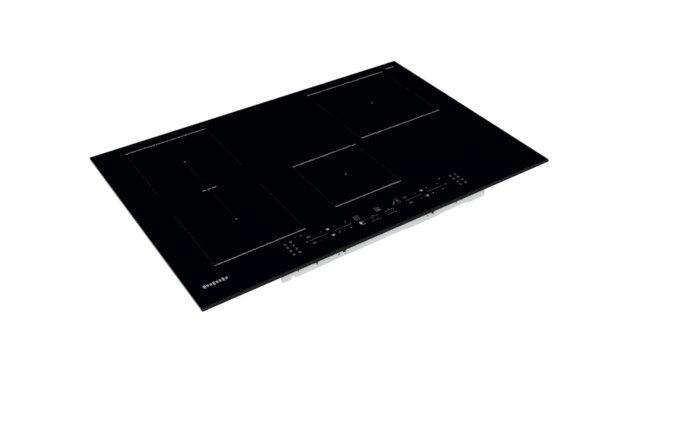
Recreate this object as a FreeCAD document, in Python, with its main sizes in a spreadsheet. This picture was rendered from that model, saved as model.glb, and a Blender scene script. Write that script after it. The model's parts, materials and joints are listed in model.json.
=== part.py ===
import FreeCAD, Part
import math
import os
import re
import Sketcher

# Built-in induction hob. Millimetres, +Z up, controls along the -Y edge, origin under the middle of the pan.

SIZES = {
    # glass plate
    "glass_width": 770,
    "glass_depth": 510,
    "glass_thickness": 4,
    "overall_height": 54,
    "glass_corner": 2.5,
    "bevel_width": 4.2,
    "bevel_drop": 2.4,
    # seal and frame under the plate
    "gasket_thickness": 3,
    "gasket_width": 6,
    "gasket_setback": 4,
    "bead_thickness": 1,
    "bead_width": 6,
    "bead_inset": 1,
    "frame_thickness": 1,
    "frame_flange": 10,
    "frame_leg": 10,
    # pan
    "pan_wall": 1,
    "pan_corner": 10,
    "side_margin": 21,
    "rear_margin": 20,
    "fit_gap": 0.2,
    "pan_bend": 2,
    "rib_depth": 0.7,
    "rib_width": 14,
    "rib_side_inset": 64,
    "rib_front_inset": 27,
    "rib_rear_inset": 40,
    "rib_rear_start": 50,
    "rib_box_gap": 28,
    "rib_half": 130,
    "rib_fan_front_gap": 62,
    "rib_fan_rear_gap": 47,
    "louvre_inset": 40,
    "louvre_width": 3,
    "louvre_low": 8,
    "louvre_roof_gap": 4,
    "louvre_box_gap": 77,
    "louvre_pitch": 9.87,
    # front housing for the controls
    "front_margin": 15,
    "housing_reach": 35,
    "housing_half": 229,
    "housing_wall": 2,
    "housing_drop": 32.5,
    "low_edge_drop": 34.5,
    "ledge_setback": 1.5,
    "ledge_drop": 35.3,
    "step_drop": 28,
    "shelf_back": 77,
    "shelf_height": 14,
    "shelf_floor": 2,
    "ledge_inset": 25.7,
    "ledge_length": 72,
    "block_reach": 18.5,
    "block_stand": 0.5,
    "end_block_depth": 2.5,
    "block_rise": 6,
    "block_hang": 0.6,
    "block_corner": 5,
    "cheek_inset": 19,
    "cheek_rise": 2,
    "rest_inset": 59,
    "rest_width": 4,
    # steps in the front wall's lower edge, from the right-hand end
    "first_step": 190.7,
    "second_step": 114,
    "last_step": 40,
    "last_step_drop": 0.5,
    # notches in the front wall: how far each tip is from the nearer end, and how far it hangs down
    "notch_left_inner": 129.4,
    "notch_left_inner_drop": 29.6,
    "notch_left_middle": 70.5,
    "notch_left_middle_drop": 27.4,
    "notch_left_outer": 32,
    "notch_left_outer_drop": 24,
    "notch_right_inner": 128,
    "notch_right_inner_drop": 28.2,
    "notch_right_middle": 71.6,
    "notch_right_middle_drop": 25.2,
    "notch_right_outer": 58,
    "notch_right_outer_drop": 23.8,
    "notch_root_drop": 18,
    "notch_slope": 8.4,
    "notch_return": 2.2,
    "small_notch_slope": 5,
    "small_notch_return": 2,
    "slot_left": 115.5,
    "slot_right": 142.6,
    "slot_mouth": 3.6,
    "slot_top_drop": 21.8,
    "slot_low_drop": 26.2,
    # controls
    "board_thickness": 1.6,
    "control_gap": 3,
    "control_depth": 6,
    "key_column_outer": 34.7,
    "key_column_inner": 46.5,
    "key_row_front": 34.3,
    "key_row_pitch": 10.33,
    "slider_row": 50,
    "slider_inner": 68,
    "slider_outer": 120,
    "slider_key_pitch": 12,
    "middle_row": 41,
    "pan_key_shift": 18,
    "tick_key_shift": 37,
    "menu_key_shift": 47,
    "display_row": 58,
    "display_shift": -47,
    "display_top_gap": 0.5,
    "key_spring_radius": 2.4,
    "key_spring_wire": 0.6,
    "display_side": 14,
    "guide_wall": 1.5,
    "guide_gap": 0.3,
    "ribbon_width": 16,
    "ribbon_thickness": 0.8,
    "ribbon_inset": 29,
    "ribbon_play": 2,
    "ribbon_fall_gap": 3,
    "ribbon_tail": 12,
    "ribbon_lift": 1,
    "ribbon_reach": 8,
    "ribbon_foot": 6,
    # coil stack, listed from the glass down
    "felt_thickness": 3,
    "mica_thickness": 0.5,
    "winding_thickness": 4,
    "ferrite_thickness": 3.5,
    "former_thickness": 3,
    "pad_thickness": 3,
    "carrier_thickness": 1,
    "carrier_gap": 4,
    "hub_radius": 22,
    "sensor_radius": 5,
    "sensor_flange": 9,
    "sensor_gap": 1,
    "former_rim": 2,
    "former_hole": 8,
    "bar_width": 12,
    "bar_inset": 2,
    "lead_radius": 0.9,
    "lead_spacing": 2.2,
    "lead_hole": 3,
    "lead_lift": 1.5,
    "lead_bend": 9.5,
    "lead_landing": 10,
    "pad_radius": 5,
    "pad_inset": 3,
    "carrier_front_gap": 8,
    "pillar_radius": 3,
    "pillar_side_inset": 4,
    "pillar_front_inset": 6,
    "pillar_rear_inset": 8,
    # zone places, from the plate's edges, and coil sizes
    "left_zone_inset": 154,
    "right_zone_inset": 164,
    "rear_left_inset": 118,
    "front_left_inset": 174.5,
    "middle_shift": 15.5,
    "front_middle_inset": 182.7,
    "rear_right_inset": 133.2,
    "left_coil_gap": 49,
    "middle_coil_radius": 68,
    "right_coil_radius": 100,
    # power electronics
    "roof_gap": 3,
    "tray_wall": 1.5,
    "tray_rise": 4,
    "tray_margin": 14,
    "board_front_inset": 50,
    "board_rear_inset": 80,
    "board_edge_gap": 2,
    "standoff_height": 2.5,
    "standoff_radius": 3,
    "standoff_inset": 6,
    "duct_gap": 24,
    "sink_depth": 42,
    "sink_margin": 10,
    "fin_pitch": 6,
    "fin_thickness": 1.8,
    "sink_base": 4,
    "transistor_width": 16,
    "transistor_thickness": 5,
    "transistor_inset": 12,
    "transistor_roof_gap": 2,
    "capacitor_radius": 8.5,
    "capacitor_inset": 20,
    "capacitor_pitch": 26,
    "capacitor_rear_gap": 24,
    "choke_radius": 15,
    "choke_bore": 6,
    "choke_height": 12,
    "choke_inset": 30,
    "choke_pitch": 60,
    "choke_front_gap": 45,
    # fans
    "fan_shift": 75,
    "fan_forward": 20,
    "fan_side": 116,
    "fan_wall": 1.5,
    "chamber_radius": 54,
    "wheel_radius": 48,
    "wheel_inner": 34,
    "wheel_gap": 2.5,
    "wheel_disc": 1.5,
    "wheel_rim": 4,
    "disc_gap": 1,
    "blade_thickness": 1.4,
    "blade_sweep": 6,
    "blade_tip_gap": 0.5,
    "hub_boss": 5,
    "boss_lift": 1,
    "shaft_radius": 1.5,
    "running_gap": 0.05,
    "motor_radius": 17,
    "motor_height": 7,
    "inlet_radius": 40,
    "inlet_core": 14,
    "slot_width": 4,
    "outlet_width": 60,
    # mains connection
    "terminal_side_inset": 100,
    "terminal_width": 126,
    "terminal_depth": 56,
    "terminal_lift": 1,
    "box_wall": 2,
    "lid_width": 86,
    "lid_thickness": 2,
    "lid_gap": 0.4,
    "mouth_depth": 6,
    "pin_radius": 1.5,
    "pin_reach": 1,
    "pin_end_gap": 0.2,
    "cable_radius": 6.5,
    "cable_boss": 3.5,
    "cable_boss_depth": 6,
    "cable_bore_depth": 20,
    "cable_side_gap": 16,
    "cable_height": 14,
    "clamp_half": 13,
    "clamp_foot": 4.5,
    "clamp_strap": 3,
    "clamp_bite": 4,
    "clamp_inset": 20,
    "clamp_depth": 10,
    "block_width": 66,
    "block_depth": 16,
    "block_height": 14,
    "block_side_gap": 8,
    "block_front_gap": 6,
    "block_roof_gap": 4,
    "well_depth": 6,
    "well_gap": 0.5,
    "screw_sunk": 1.5,
    "screw_radius": 2,
    "screw_head": 3.6,
    "head_height": 2,
    # side spring clips
    "clip_width": 24,
    "clip_metal": 0.8,
    "clip_leg": 12,
    "clip_swell": 12.6,
    "clip_drop": 16,
    "clip_swell_metal": 1.04,
    "clip_tail": 6.5,
    "clip_tail_cut": 0.3,
    "tail_drop": 25,
    "clip_top_gap": 2,
    "clip_screw_drop": 8.6,
    "clip_front_inset": 130,
    "clip_rear_inset": 110,
    # screws round the pan
    "side_screw_front_gap": 35,
    "side_screw_rear_gap": 85,
    "rear_screw_inset": 114,
    "pan_screw_drop": 6,
}

doc = FreeCAD.newDocument("InductionHob")
sheet = doc.addObject("Spreadsheet::Sheet", "Sizes")
for row, (alias, size) in enumerate(SIZES.items(), start=1):
    sheet.set(f"A{row}", alias)
    sheet.set(f"B{row}", str(size))
    sheet.setAlias(f"B{row}", alias)
doc.recompute()

subparts = []


def formula(text):
    """Turn the size names in a formula into references to the sheet."""
    return re.sub(r"[a-z][a-z_]*", lambda word: f"Sizes.{word[0]}" if word[0] in SIZES else word[0], str(text))


def value(text):
    return float(sheet.evalExpression(formula(text)))


def keep(piece, label):
    """Name a finished sub-part."""
    piece.Label = label
    subparts.append(piece)
    return piece


def place(piece, x="0", y="0", z="0"):
    for axis, text in zip("xyz", (x, y, z)):
        piece.setExpression(f"Placement.Base.{axis}", formula(text))
    return piece


def box(name, x, y, z):
    """A block between three pairs of limits."""
    piece = doc.addObject("Part::Box", name)
    for prop, (low, high) in zip(("Length", "Width", "Height"), (x, y, z)):
        piece.setExpression(prop, formula(f"({high}) - ({low})"))
    return place(piece, x[0], y[0], z[0])


def post(name, x, y, z, radius):
    """An upright cylinder between two heights."""
    piece = doc.addObject("Part::Cylinder", name)
    piece.setExpression("Radius", formula(radius))
    piece.setExpression("Height", formula(f"({z[1]}) - ({z[0]})"))
    return place(piece, x, y, z[0])


def rod(name, along, x, y, z, length, radius):
    """A cylinder that starts at a point and runs along +X or +Y."""
    piece = doc.addObject("Part::Cylinder", name)
    turn = {"x": FreeCAD.Rotation(FreeCAD.Vector(0, 1, 0), 90),
            "y": FreeCAD.Rotation(FreeCAD.Vector(1, 0, 0), -90)}
    piece.Placement.Rotation = turn[along]
    piece.setExpression("Radius", formula(radius))
    piece.setExpression("Height", formula(length))
    return place(piece, x, y, z)


def join(name, pieces):
    piece = doc.addObject("Part::MultiFuse", name)
    piece.Shapes = pieces
    return piece


def cut(name, base, tools):
    piece = doc.addObject("Part::Cut", name)
    piece.Base = base
    piece.Tool = tools[0] if len(tools) == 1 else join(f"{name}_tools", tools)
    return piece


def group(name, pieces):
    """Separate solids that share one node."""
    piece = doc.addObject("Part::Compound", name)
    piece.Links = pieces
    return piece


def ring(name, x, y, z, outer, inner):
    return cut(name, post(f"{name}_outer", x, y, z, outer), [post(f"{name}_inner", x, y, z, inner)])


def mirrored(side, near, far):
    """Limits between two distances from the middle, on the side +1 or -1."""
    return (near, far) if side > 0 else (f"-({far})", f"-({near})")


def body(name):
    return doc.addObject("PartDesign::Body", name)


def origin_plane(owner, role):
    return next(plane for plane in owner.Origin.OriginFeatures if plane.Role == role)


def dimension(sketch, kind, geometry, point, text):
    number = sketch.addConstraint(Sketcher.Constraint(kind, -1, 1, geometry, point, value(text)))
    sketch.setExpression(f"Constraints[{number}]", formula(text))


def outline(*points):
    return ("outline", points)


def circle(x, y, radius):
    return ("circle", (x, y, radius))


def rectangle(x, y):
    return outline((x[0], y[0]), (x[1], y[0]), (x[1], y[1]), (x[0], y[1]))


def draw(owner, name, plane, loops, shift="0"):
    """A sketch on one of the body's own planes, each corner and radius bound to the sheet."""
    sketch = owner.newObject("Sketcher::SketchObject", name)
    sketch.AttachmentSupport = [(origin_plane(owner, plane), "")]
    sketch.MapMode = "FlatFace"
    sketch.setExpression("AttachmentOffset.Base.z", formula(shift))
    for kind, shape in loops:
        first = sketch.GeometryCount
        if kind == "circle":
            x, y, radius = shape
            centre = FreeCAD.Vector(value(x), value(y), 0)
            sketch.addGeometry(Part.Circle(centre, FreeCAD.Vector(0, 0, 1), value(radius)), False)
            dimension(sketch, "DistanceX", first, 3, x)
            dimension(sketch, "DistanceY", first, 3, y)
            number = sketch.addConstraint(Sketcher.Constraint("Radius", first, value(radius)))
            sketch.setExpression(f"Constraints[{number}]", formula(radius))
            continue
        corners = [FreeCAD.Vector(value(x), value(y), 0) for x, y in shape]
        for here, there in zip(corners, corners[1:] + corners[:1]):
            sketch.addGeometry(Part.LineSegment(here, there), False)
        for edge, (x, y) in enumerate(shape):
            before = first + (edge - 1) % len(shape)
            sketch.addConstraint(Sketcher.Constraint("Coincident", before, 2, first + edge, 1))
            dimension(sketch, "DistanceX", first + edge, 1, x)
            dimension(sketch, "DistanceY", first + edge, 1, y)
    sketch.Visibility = False
    return sketch


def pad(owner, name, plane, loops, length, shift="0"):
    feature = owner.newObject("PartDesign::Pad", name)
    feature.Profile = draw(owner, f"{name}_sketch", plane, loops, shift)
    feature.setExpression("Length", formula(length))
    return feature


def pocket(owner, name, plane, loops, length, shift="0", both_ways=False):
    """Cut against the sketch's normal, or to both sides of it, and check that something was cut."""
    feature = owner.newObject("PartDesign::Pocket", name)
    feature.Profile = draw(owner, f"{name}_sketch", plane, loops, shift)
    feature.setExpression("Length", formula(length))
    feature.Midplane = both_ways
    doc.recompute()
    if feature.Shape.Volume > feature.BaseFeature.Shape.Volume - 1e-3:
        raise RuntimeError(f"{name} cuts nothing")
    return feature


def repeat_round(owner, name, feature, count):
    pattern = owner.newObject("PartDesign::PolarPattern", name)
    pattern.Originals = [feature]
    pattern.Axis = (feature.Profile[0], ["N_Axis"])
    pattern.Angle = 360
    pattern.Occurrences = count
    owner.Tip = pattern
    return pattern


def repeat_line(owner, name, feature, axis, length, count):
    pattern = owner.newObject("PartDesign::LinearPattern", name)
    pattern.Originals = [feature]
    pattern.Direction = (feature.Profile[0], [axis])
    pattern.setExpression("Length", formula(length))
    pattern.Occurrences = count
    owner.Tip = pattern
    return pattern


def edges_where(feature, test):
    doc.recompute()
    return [f"Edge{number}" for number, edge in enumerate(feature.Shape.Edges, start=1) if test(edge)]


def is_upright(edge):
    spread = edge.BoundBox
    return spread.XLength < 1e-6 and spread.YLength < 1e-6 and spread.ZLength > 1e-6


def round_uprights(owner, name, feature, radius):
    fillet = owner.newObject("PartDesign::Fillet", name)
    fillet.Base = (feature, edges_where(feature, is_upright))
    fillet.setExpression("Radius", formula(radius))
    return fillet


# Heights, from the plate down and from the pan up.
under_glass = "(overall_height - glass_thickness)"
frame_top = f"({under_glass} - bead_thickness)"
pan_top = f"({frame_top} - frame_thickness)"
felt_low = f"({under_glass} - felt_thickness)"
mica_low = f"({felt_low} - mica_thickness)"
winding_low = f"({mica_low} - winding_thickness)"
ferrite_low = f"({winding_low} - ferrite_thickness)"
former_low = f"({ferrite_low} - former_thickness)"
carrier_top = f"({former_low} - pad_thickness)"
carrier_low = f"({carrier_top} - carrier_thickness)"
roof = f"({carrier_low} - roof_gap)"
board_low = "(pan_wall + tray_wall + standoff_height)"
board_top = f"({board_low} + board_thickness)"

# Distances from the middle.
glass_side = "(glass_width / 2)"
glass_end = "(glass_depth / 2)"
pan_side = "(glass_width / 2 - side_margin)"
pan_rear = "(glass_depth / 2 - rear_margin)"
housing_front = "(glass_depth / 2 - front_margin)"
pan_front = f"({housing_front} - housing_reach)"
shelf_rear = f"({glass_end} - shelf_back)"
inner_side = f"({pan_side} - pan_wall)"
inner_rear = f"({pan_rear} - pan_wall)"
inner_front = f"({pan_front} - pan_wall)"
shelf_low = f"({under_glass} - shelf_height)"
box_right = f"({pan_side} - terminal_side_inset)"
box_left = f"({box_right} - terminal_width)"
duct_side = "(fan_shift + fan_side / 2 + duct_gap)"
tray_front = f"(board_front_inset - {pan_front})"
tray_rear = f"({pan_rear} - board_rear_inset)"

# Coils: the two left ones share the flexible zone, so their size follows their spacing.
left_x = f"(left_zone_inset - {glass_side})"
left_rear_y = f"({glass_end} - rear_left_inset)"
left_front_y = f"(front_left_inset - {glass_end})"
left_radius = f"(({left_rear_y} - {left_front_y} - left_coil_gap) / 2)"
ZONES = {
    "left_rear": (left_x, left_rear_y, left_radius),
    "left_front": (left_x, left_front_y, left_radius),
    "middle_front": ("middle_shift", f"(front_middle_inset - {glass_end})", "middle_coil_radius"),
    "right_rear": (f"({glass_side} - right_zone_inset)", f"({glass_end} - rear_right_inset)",
                   "right_coil_radius"),
}
SIDES = {"left": -1, "right": 1}
INLET_SLOTS = 20
FAN_BLADES = 28


def make_glass():
    """The plate, with nearly sharp corners and a wide bevel along its front edge only."""
    plate = body("glass_plate")
    slab = pad(plate, "slab", "XY_Plane",
               [rectangle((f"-{glass_side}", glass_side), (f"-{glass_end}", glass_end))],
               "glass_thickness", under_glass)
    round_uprights(plate, "slab_corners", slab, "glass_corner")
    doc.recompute()
    outside, over, facet_low = f"(-{glass_end} - 1)", "(overall_height + 1)", "(overall_height - bevel_drop)"
    pocket(plate, "front_bevel", "YZ_Plane",
           [outline((outside, over), (outside, facet_low), (f"-{glass_end}", facet_low),
                    (f"bevel_width - {glass_end}", "overall_height"), (f"bevel_width - {glass_end}", over))],
           "glass_width * 2", both_ways=True)
    keep(plate, "glass_plate")


def make_seal():
    gasket = body("foam_gasket")
    outer_x = f"({glass_side} - gasket_setback)"
    outer_y = f"({glass_end} - gasket_setback)"
    pad(gasket, "gasket_ring", "XY_Plane",
        [rectangle((f"-{outer_x}", outer_x), (f"-{outer_y}", outer_y)),
         rectangle((f"gasket_width - {outer_x}", f"{outer_x} - gasket_width"),
                   (f"gasket_width - {outer_y}", f"{outer_y} - gasket_width"))],
        "gasket_thickness", f"{under_glass} - gasket_thickness")
    keep(gasket, "foam_gasket")


def control_gap_box(name):
    """The room that the control housing takes out of the frame and the bead."""
    return box(name, ("-housing_half - control_gap", "housing_half + control_gap"),
               (f"-{glass_end}", f"control_gap - {shelf_rear}"), (shelf_low, "overall_height"))


def make_frame():
    """An angle frame under the plate, open at the front for the controls, glued on with a bead."""
    rear, front = pan_rear, pan_front
    flange_outer = box("flange_outer", (f"-{pan_side}", pan_side), (f"-{front}", rear), (pan_top, frame_top))
    flange_inner = box("flange_inner", (f"frame_flange - {pan_side}", f"{pan_side} - frame_flange"),
                       (f"frame_flange - {front}", f"{rear} - frame_flange"), (pan_top, frame_top))
    leg_side, leg_rear, leg_front = (f"({text} - fit_gap)" for text in (inner_side, inner_rear, inner_front))
    leg_low = f"{pan_top} - frame_leg"
    leg_outer = box("leg_outer", (f"-{leg_side}", leg_side), (f"-{leg_front}", leg_rear), (leg_low, pan_top))
    leg_inner = box("leg_inner", (f"frame_thickness - {leg_side}", f"{leg_side} - frame_thickness"),
                    (f"frame_thickness - {leg_front}", f"{leg_rear} - frame_thickness"), (leg_low, pan_top))
    corners = [box(f"frame_corner_{name}_{end}", mirrored(side, f"{inner_side} - pan_corner", pan_side),
                   limits, (leg_low, pan_top))
               for name, side in SIDES.items()
               for end, limits in (("front", (f"-{pan_front}", f"pan_corner - {inner_front}")),
                                   ("rear", (f"{inner_rear} - pan_corner", pan_rear)))]
    leg = cut("leg", leg_outer, [leg_inner] + corners)
    ring_part = join("frame_ring", [cut("flange", flange_outer, [flange_inner]), leg])
    keep(cut("glass_frame", ring_part, [control_gap_box("frame_gap")]), "glass_frame")
    bead_outer = box("bead_outer", (f"bead_inset - {pan_side}", f"{pan_side} - bead_inset"),
                     (f"bead_inset - {front}", f"{rear} - bead_inset"), (frame_top, under_glass))
    bead_reach = "(bead_inset + bead_width)"
    bead_inner = box("bead_inner", (f"{bead_reach} - {pan_side}", f"{pan_side} - {bead_reach}"),
                     (f"{bead_reach} - {front}", f"{rear} - {bead_reach}"), (frame_top, under_glass))
    keep(cut("adhesive_bead", bead_outer, [bead_inner, control_gap_box("bead_gap")]), "adhesive_bead")


def make_pan():
    """A pressed steel pan: rounded corners, stiffening beads, air slots, and room for the box and controls."""
    pan = body("bottom_pan")
    block = pad(pan, "pan_block", "XY_Plane",
                [rectangle((f"-{pan_side}", pan_side), (f"-{pan_front}", pan_rear))], pan_top)
    rounded = round_uprights(pan, "pan_corners", block, "pan_corner")
    bend = pan.newObject("PartDesign::Fillet", "pan_bend")
    bend.Base = (rounded, edges_where(rounded, lambda edge: edge.BoundBox.ZMax < 1e-6))
    bend.setExpression("Radius", formula("pan_bend"))
    doc.recompute()
    roof_face = max(range(len(bend.Shape.Faces)), key=lambda index: bend.Shape.Faces[index].CenterOfMass.z)
    shell = pan.newObject("PartDesign::Thickness", "pan_shell")
    shell.Base = (bend, [f"Face{roof_face + 1}"])
    shell.setExpression("Value", formula("pan_wall"))
    shell.Reversed = True
    doc.recompute()
    by_box = f"({box_left} - rib_box_gap)"
    ribs = (("front", (f"rib_side_inset - {pan_side}", f"{pan_side} - rib_side_inset"),
             f"(rib_front_inset - {pan_front})"),
            ("rear", (f"rib_rear_start - {pan_side}", by_box), f"({pan_rear} - rib_rear_inset)"),
            ("middle_front", ("-rib_half", "rib_half"), "(fan_forward - fan_side / 2 - rib_fan_front_gap)"),
            ("middle_rear", ("-rib_half", by_box), "(fan_forward + fan_side / 2 + rib_fan_rear_gap)"))
    for name, (low_x, high_x), y in ribs:
        pad(pan, f"rib_{name}", "XY_Plane",
            [rectangle((f"{low_x} - pan_wall", f"{high_x} + pan_wall"),
                       (f"{y} - rib_width / 2 - pan_wall", f"{y} + rib_width / 2 + pan_wall"))],
            "rib_depth + pan_wall / 2", "pan_wall / 2")
        doc.recompute()
        pocket(pan, f"rib_recess_{name}", "XY_Plane",
               [rectangle((low_x, high_x), (f"{y} - rib_width / 2", f"{y} + rib_width / 2"))],
               "rib_depth * 2", both_ways=True)
    for name, side in SIDES.items():
        fan_x = f"{side} * fan_shift"
        slot = pocket(pan, f"inlet_slot_{name}", "XY_Plane",
                      [rectangle((f"{fan_x} + inlet_core", f"{fan_x} + inlet_radius"),
                                 ("fan_forward - slot_width / 2", "fan_forward + slot_width / 2"))],
                      "pan_wall * 3", both_ways=True)
        pattern = pan.newObject("PartDesign::PolarPattern", f"inlet_grille_{name}")
        pattern.Originals = [slot]
        datum = pan.newObject("PartDesign::Line", f"fan_line_{name}")
        datum.AttachmentSupport = [(origin_plane(pan, "XY_Plane"), "")]
        datum.MapMode = "ObjectZ"
        datum.setExpression("AttachmentOffset.Base.x", formula(fan_x))
        datum.setExpression("AttachmentOffset.Base.y", formula("fan_forward"))
        pattern.Axis = (datum, [""])
        pattern.Angle = 360
        pattern.Occurrences = INLET_SLOTS
        pan.Tip = pattern
    pocket(pan, "control_notch", "XZ_Plane",
           [rectangle(("-housing_half - control_gap", "housing_half + control_gap"),
                      (f"{shelf_low} - control_gap", f"{pan_top} + 1"))],
           "pan_wall * 4", pan_front, both_ways=True)
    pocket(pan, "terminal_notch", "XZ_Plane",
           [rectangle((f"{box_left} - lid_gap", f"{box_right} + lid_gap"),
                      ("pan_wall + terminal_lift - lid_gap", f"{roof} + lid_gap"))],
           "pan_wall * 4", f"-{pan_rear}", both_ways=True)
    first = f"(louvre_inset - {pan_side})"
    rear_slot = pocket(pan, "rear_slot", "XZ_Plane",
                       [rectangle((first, f"{first} + louvre_width"),
                                  ("louvre_low", f"{roof} - louvre_roof_gap"))],
                       "pan_wall * 4", f"-{pan_rear}", both_ways=True)
    run = f"({box_left} - louvre_box_gap - {first})"
    repeat_line(pan, "rear_louvre", rear_slot, "H_Axis", run, round(value(f"{run} / louvre_pitch")) + 1)
    keep(pan, "bottom_pan")


control_low = f"({under_glass} - control_depth)"
control_top = f"({control_low} + board_thickness)"
ribbon_x = "(ribbon_inset - housing_half)"
NOTCHES = (("left_inner", -1, ""), ("left_middle", -1, "small_"), ("left_outer", -1, "small_"),
           ("right_inner", 1, ""), ("right_middle", 1, "small_"), ("right_outer", 1, "small_"))


def height(drop):
    """A height given by how far it is below the plate's top."""
    return f"(overall_height - ({drop}))"


def make_front_wall():
    """The notched front wall, whose lower edge goes down and up in steps."""
    side, ledge_end = "housing_half", "(housing_half - ledge_inset - ledge_length)"
    level, low, last = height("housing_drop"), height("low_edge_drop"), height("low_edge_drop + last_step_drop")
    steps = [f"(housing_half - {name}_step)" for name in ("first", "second", "last")]
    profile = outline((f"-{side}", height("step_drop")), (f"-{ledge_end}", height("step_drop")),
                      (f"-{ledge_end}", level), (steps[0], level), (steps[0], low), (steps[1], low),
                      (steps[1], level), (steps[2], level), (steps[2], last), (side, last),
                      (side, pan_top), (f"-{side}", pan_top))
    openings = []
    for name, sign, size in NOTCHES:
        tip = f"{sign} * (housing_half - notch_{name})"
        openings.append(outline((f"{tip} - {size}notch_slope", height("notch_root_drop")),
                                (tip, height(f"notch_{name}_drop")),
                                (f"{tip} + {size}notch_return", height("notch_root_drop"))))
    for name, sign in SIDES.items():
        middle = f"{sign} * (housing_half - slot_{name})"
        openings.append(rectangle((f"{middle} - slot_mouth / 2", f"{middle} + slot_mouth / 2"),
                                  (height("slot_low_drop"), height("slot_top_drop"))))
    wall = body("housing_front_wall")
    pad(wall, "front_wall", "XZ_Plane", [profile] + openings, "housing_wall", f"{housing_front} - housing_wall")
    return wall


def make_end_block():
    """The block at the left end, with its outer lower corner rounded."""
    block_body = body("housing_block")
    block = pad(block_body, "end_block", "XZ_Plane",
                [rectangle(("-housing_half - block_stand", "block_reach - housing_half"),
                           (height("ledge_drop + block_hang"), height("step_drop - block_rise")))],
                "end_block_depth", f"{housing_front} - ledge_setback - end_block_depth")
    low_corner = edges_where(block, lambda edge: edge.BoundBox.YLength > 1e-6 and edge.BoundBox.XLength < 1e-6
                             and edge.CenterOfMass.x < value("-housing_half")
                             and edge.CenterOfMass.z < value(height("step_drop")))
    fillet = block_body.newObject("PartDesign::Fillet", "end_block_corner")
    fillet.Base = (block, low_corner)
    fillet.setExpression("Radius", formula("block_corner"))
    return block_body


def make_housing():
    """The light plastic housing of the controls: the front wall, a shelf for the board, and a ribbed skirt."""
    front, side = housing_front, "housing_half"
    inside = f"(housing_wall - {front})"
    shelf_back_wall = f"(-{shelf_rear} - housing_wall)"
    shelf_top = f"({shelf_low} + shelf_floor)"
    ledge = box("housing_ledge", (f"ledge_inset - {side}", f"ledge_inset + ledge_length - {side}"),
                (f"ledge_setback - {front}", f"ledge_setback + {inside}"), (height("ledge_drop"), shelf_top))
    floor = box("shelf_floor", (f"-{side}", side), (inside, f"-{shelf_rear}"), (shelf_low, shelf_top))
    back_wall = box("shelf_rear_wall", (f"-{side}", side), (shelf_back_wall, f"-{shelf_rear}"),
                    (shelf_low, pan_top))
    ends = [box(f"shelf_end_{name}", mirrored(sign, f"{side} - housing_wall", side), (inside, f"-{shelf_rear}"),
                (shelf_low, pan_top)) for name, sign in SIDES.items()]
    cheeks, rests = [], []
    for number in range(7):
        x = f"(cheek_inset - {side} + {number} * (2 * {side} - cheek_inset) / 6)"
        cheeks.append(box(f"cheek_{number}", (f"{x} - housing_wall", x), (inside, f"-{pan_front} - fit_gap"),
                          (height("step_drop - cheek_rise"), shelf_low)))
    for number in range(5):
        x = f"(({number} - 2) * ({side} - rest_inset) / 2)"
        rests.append(box(f"board_rest_{number}", (f"{x} - rest_width / 2", f"{x} + rest_width / 2"),
                         (inside, shelf_back_wall), (shelf_top, control_low)))
    whole = join("housing_whole",
                 [make_front_wall(), ledge, make_end_block(), floor, back_wall] + ends + cheeks + rests)
    cable_slot = box("ribbon_slot", (f"{ribbon_x} - ribbon_play", f"{ribbon_x} + ribbon_width + ribbon_play"),
                     (f"{shelf_back_wall} - 1", f"1 - {shelf_rear}"),
                     (shelf_top, f"{control_low} - fit_gap * 2"))
    keep(cut("front_housing", whole, [cable_slot]), "front_housing")


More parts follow.
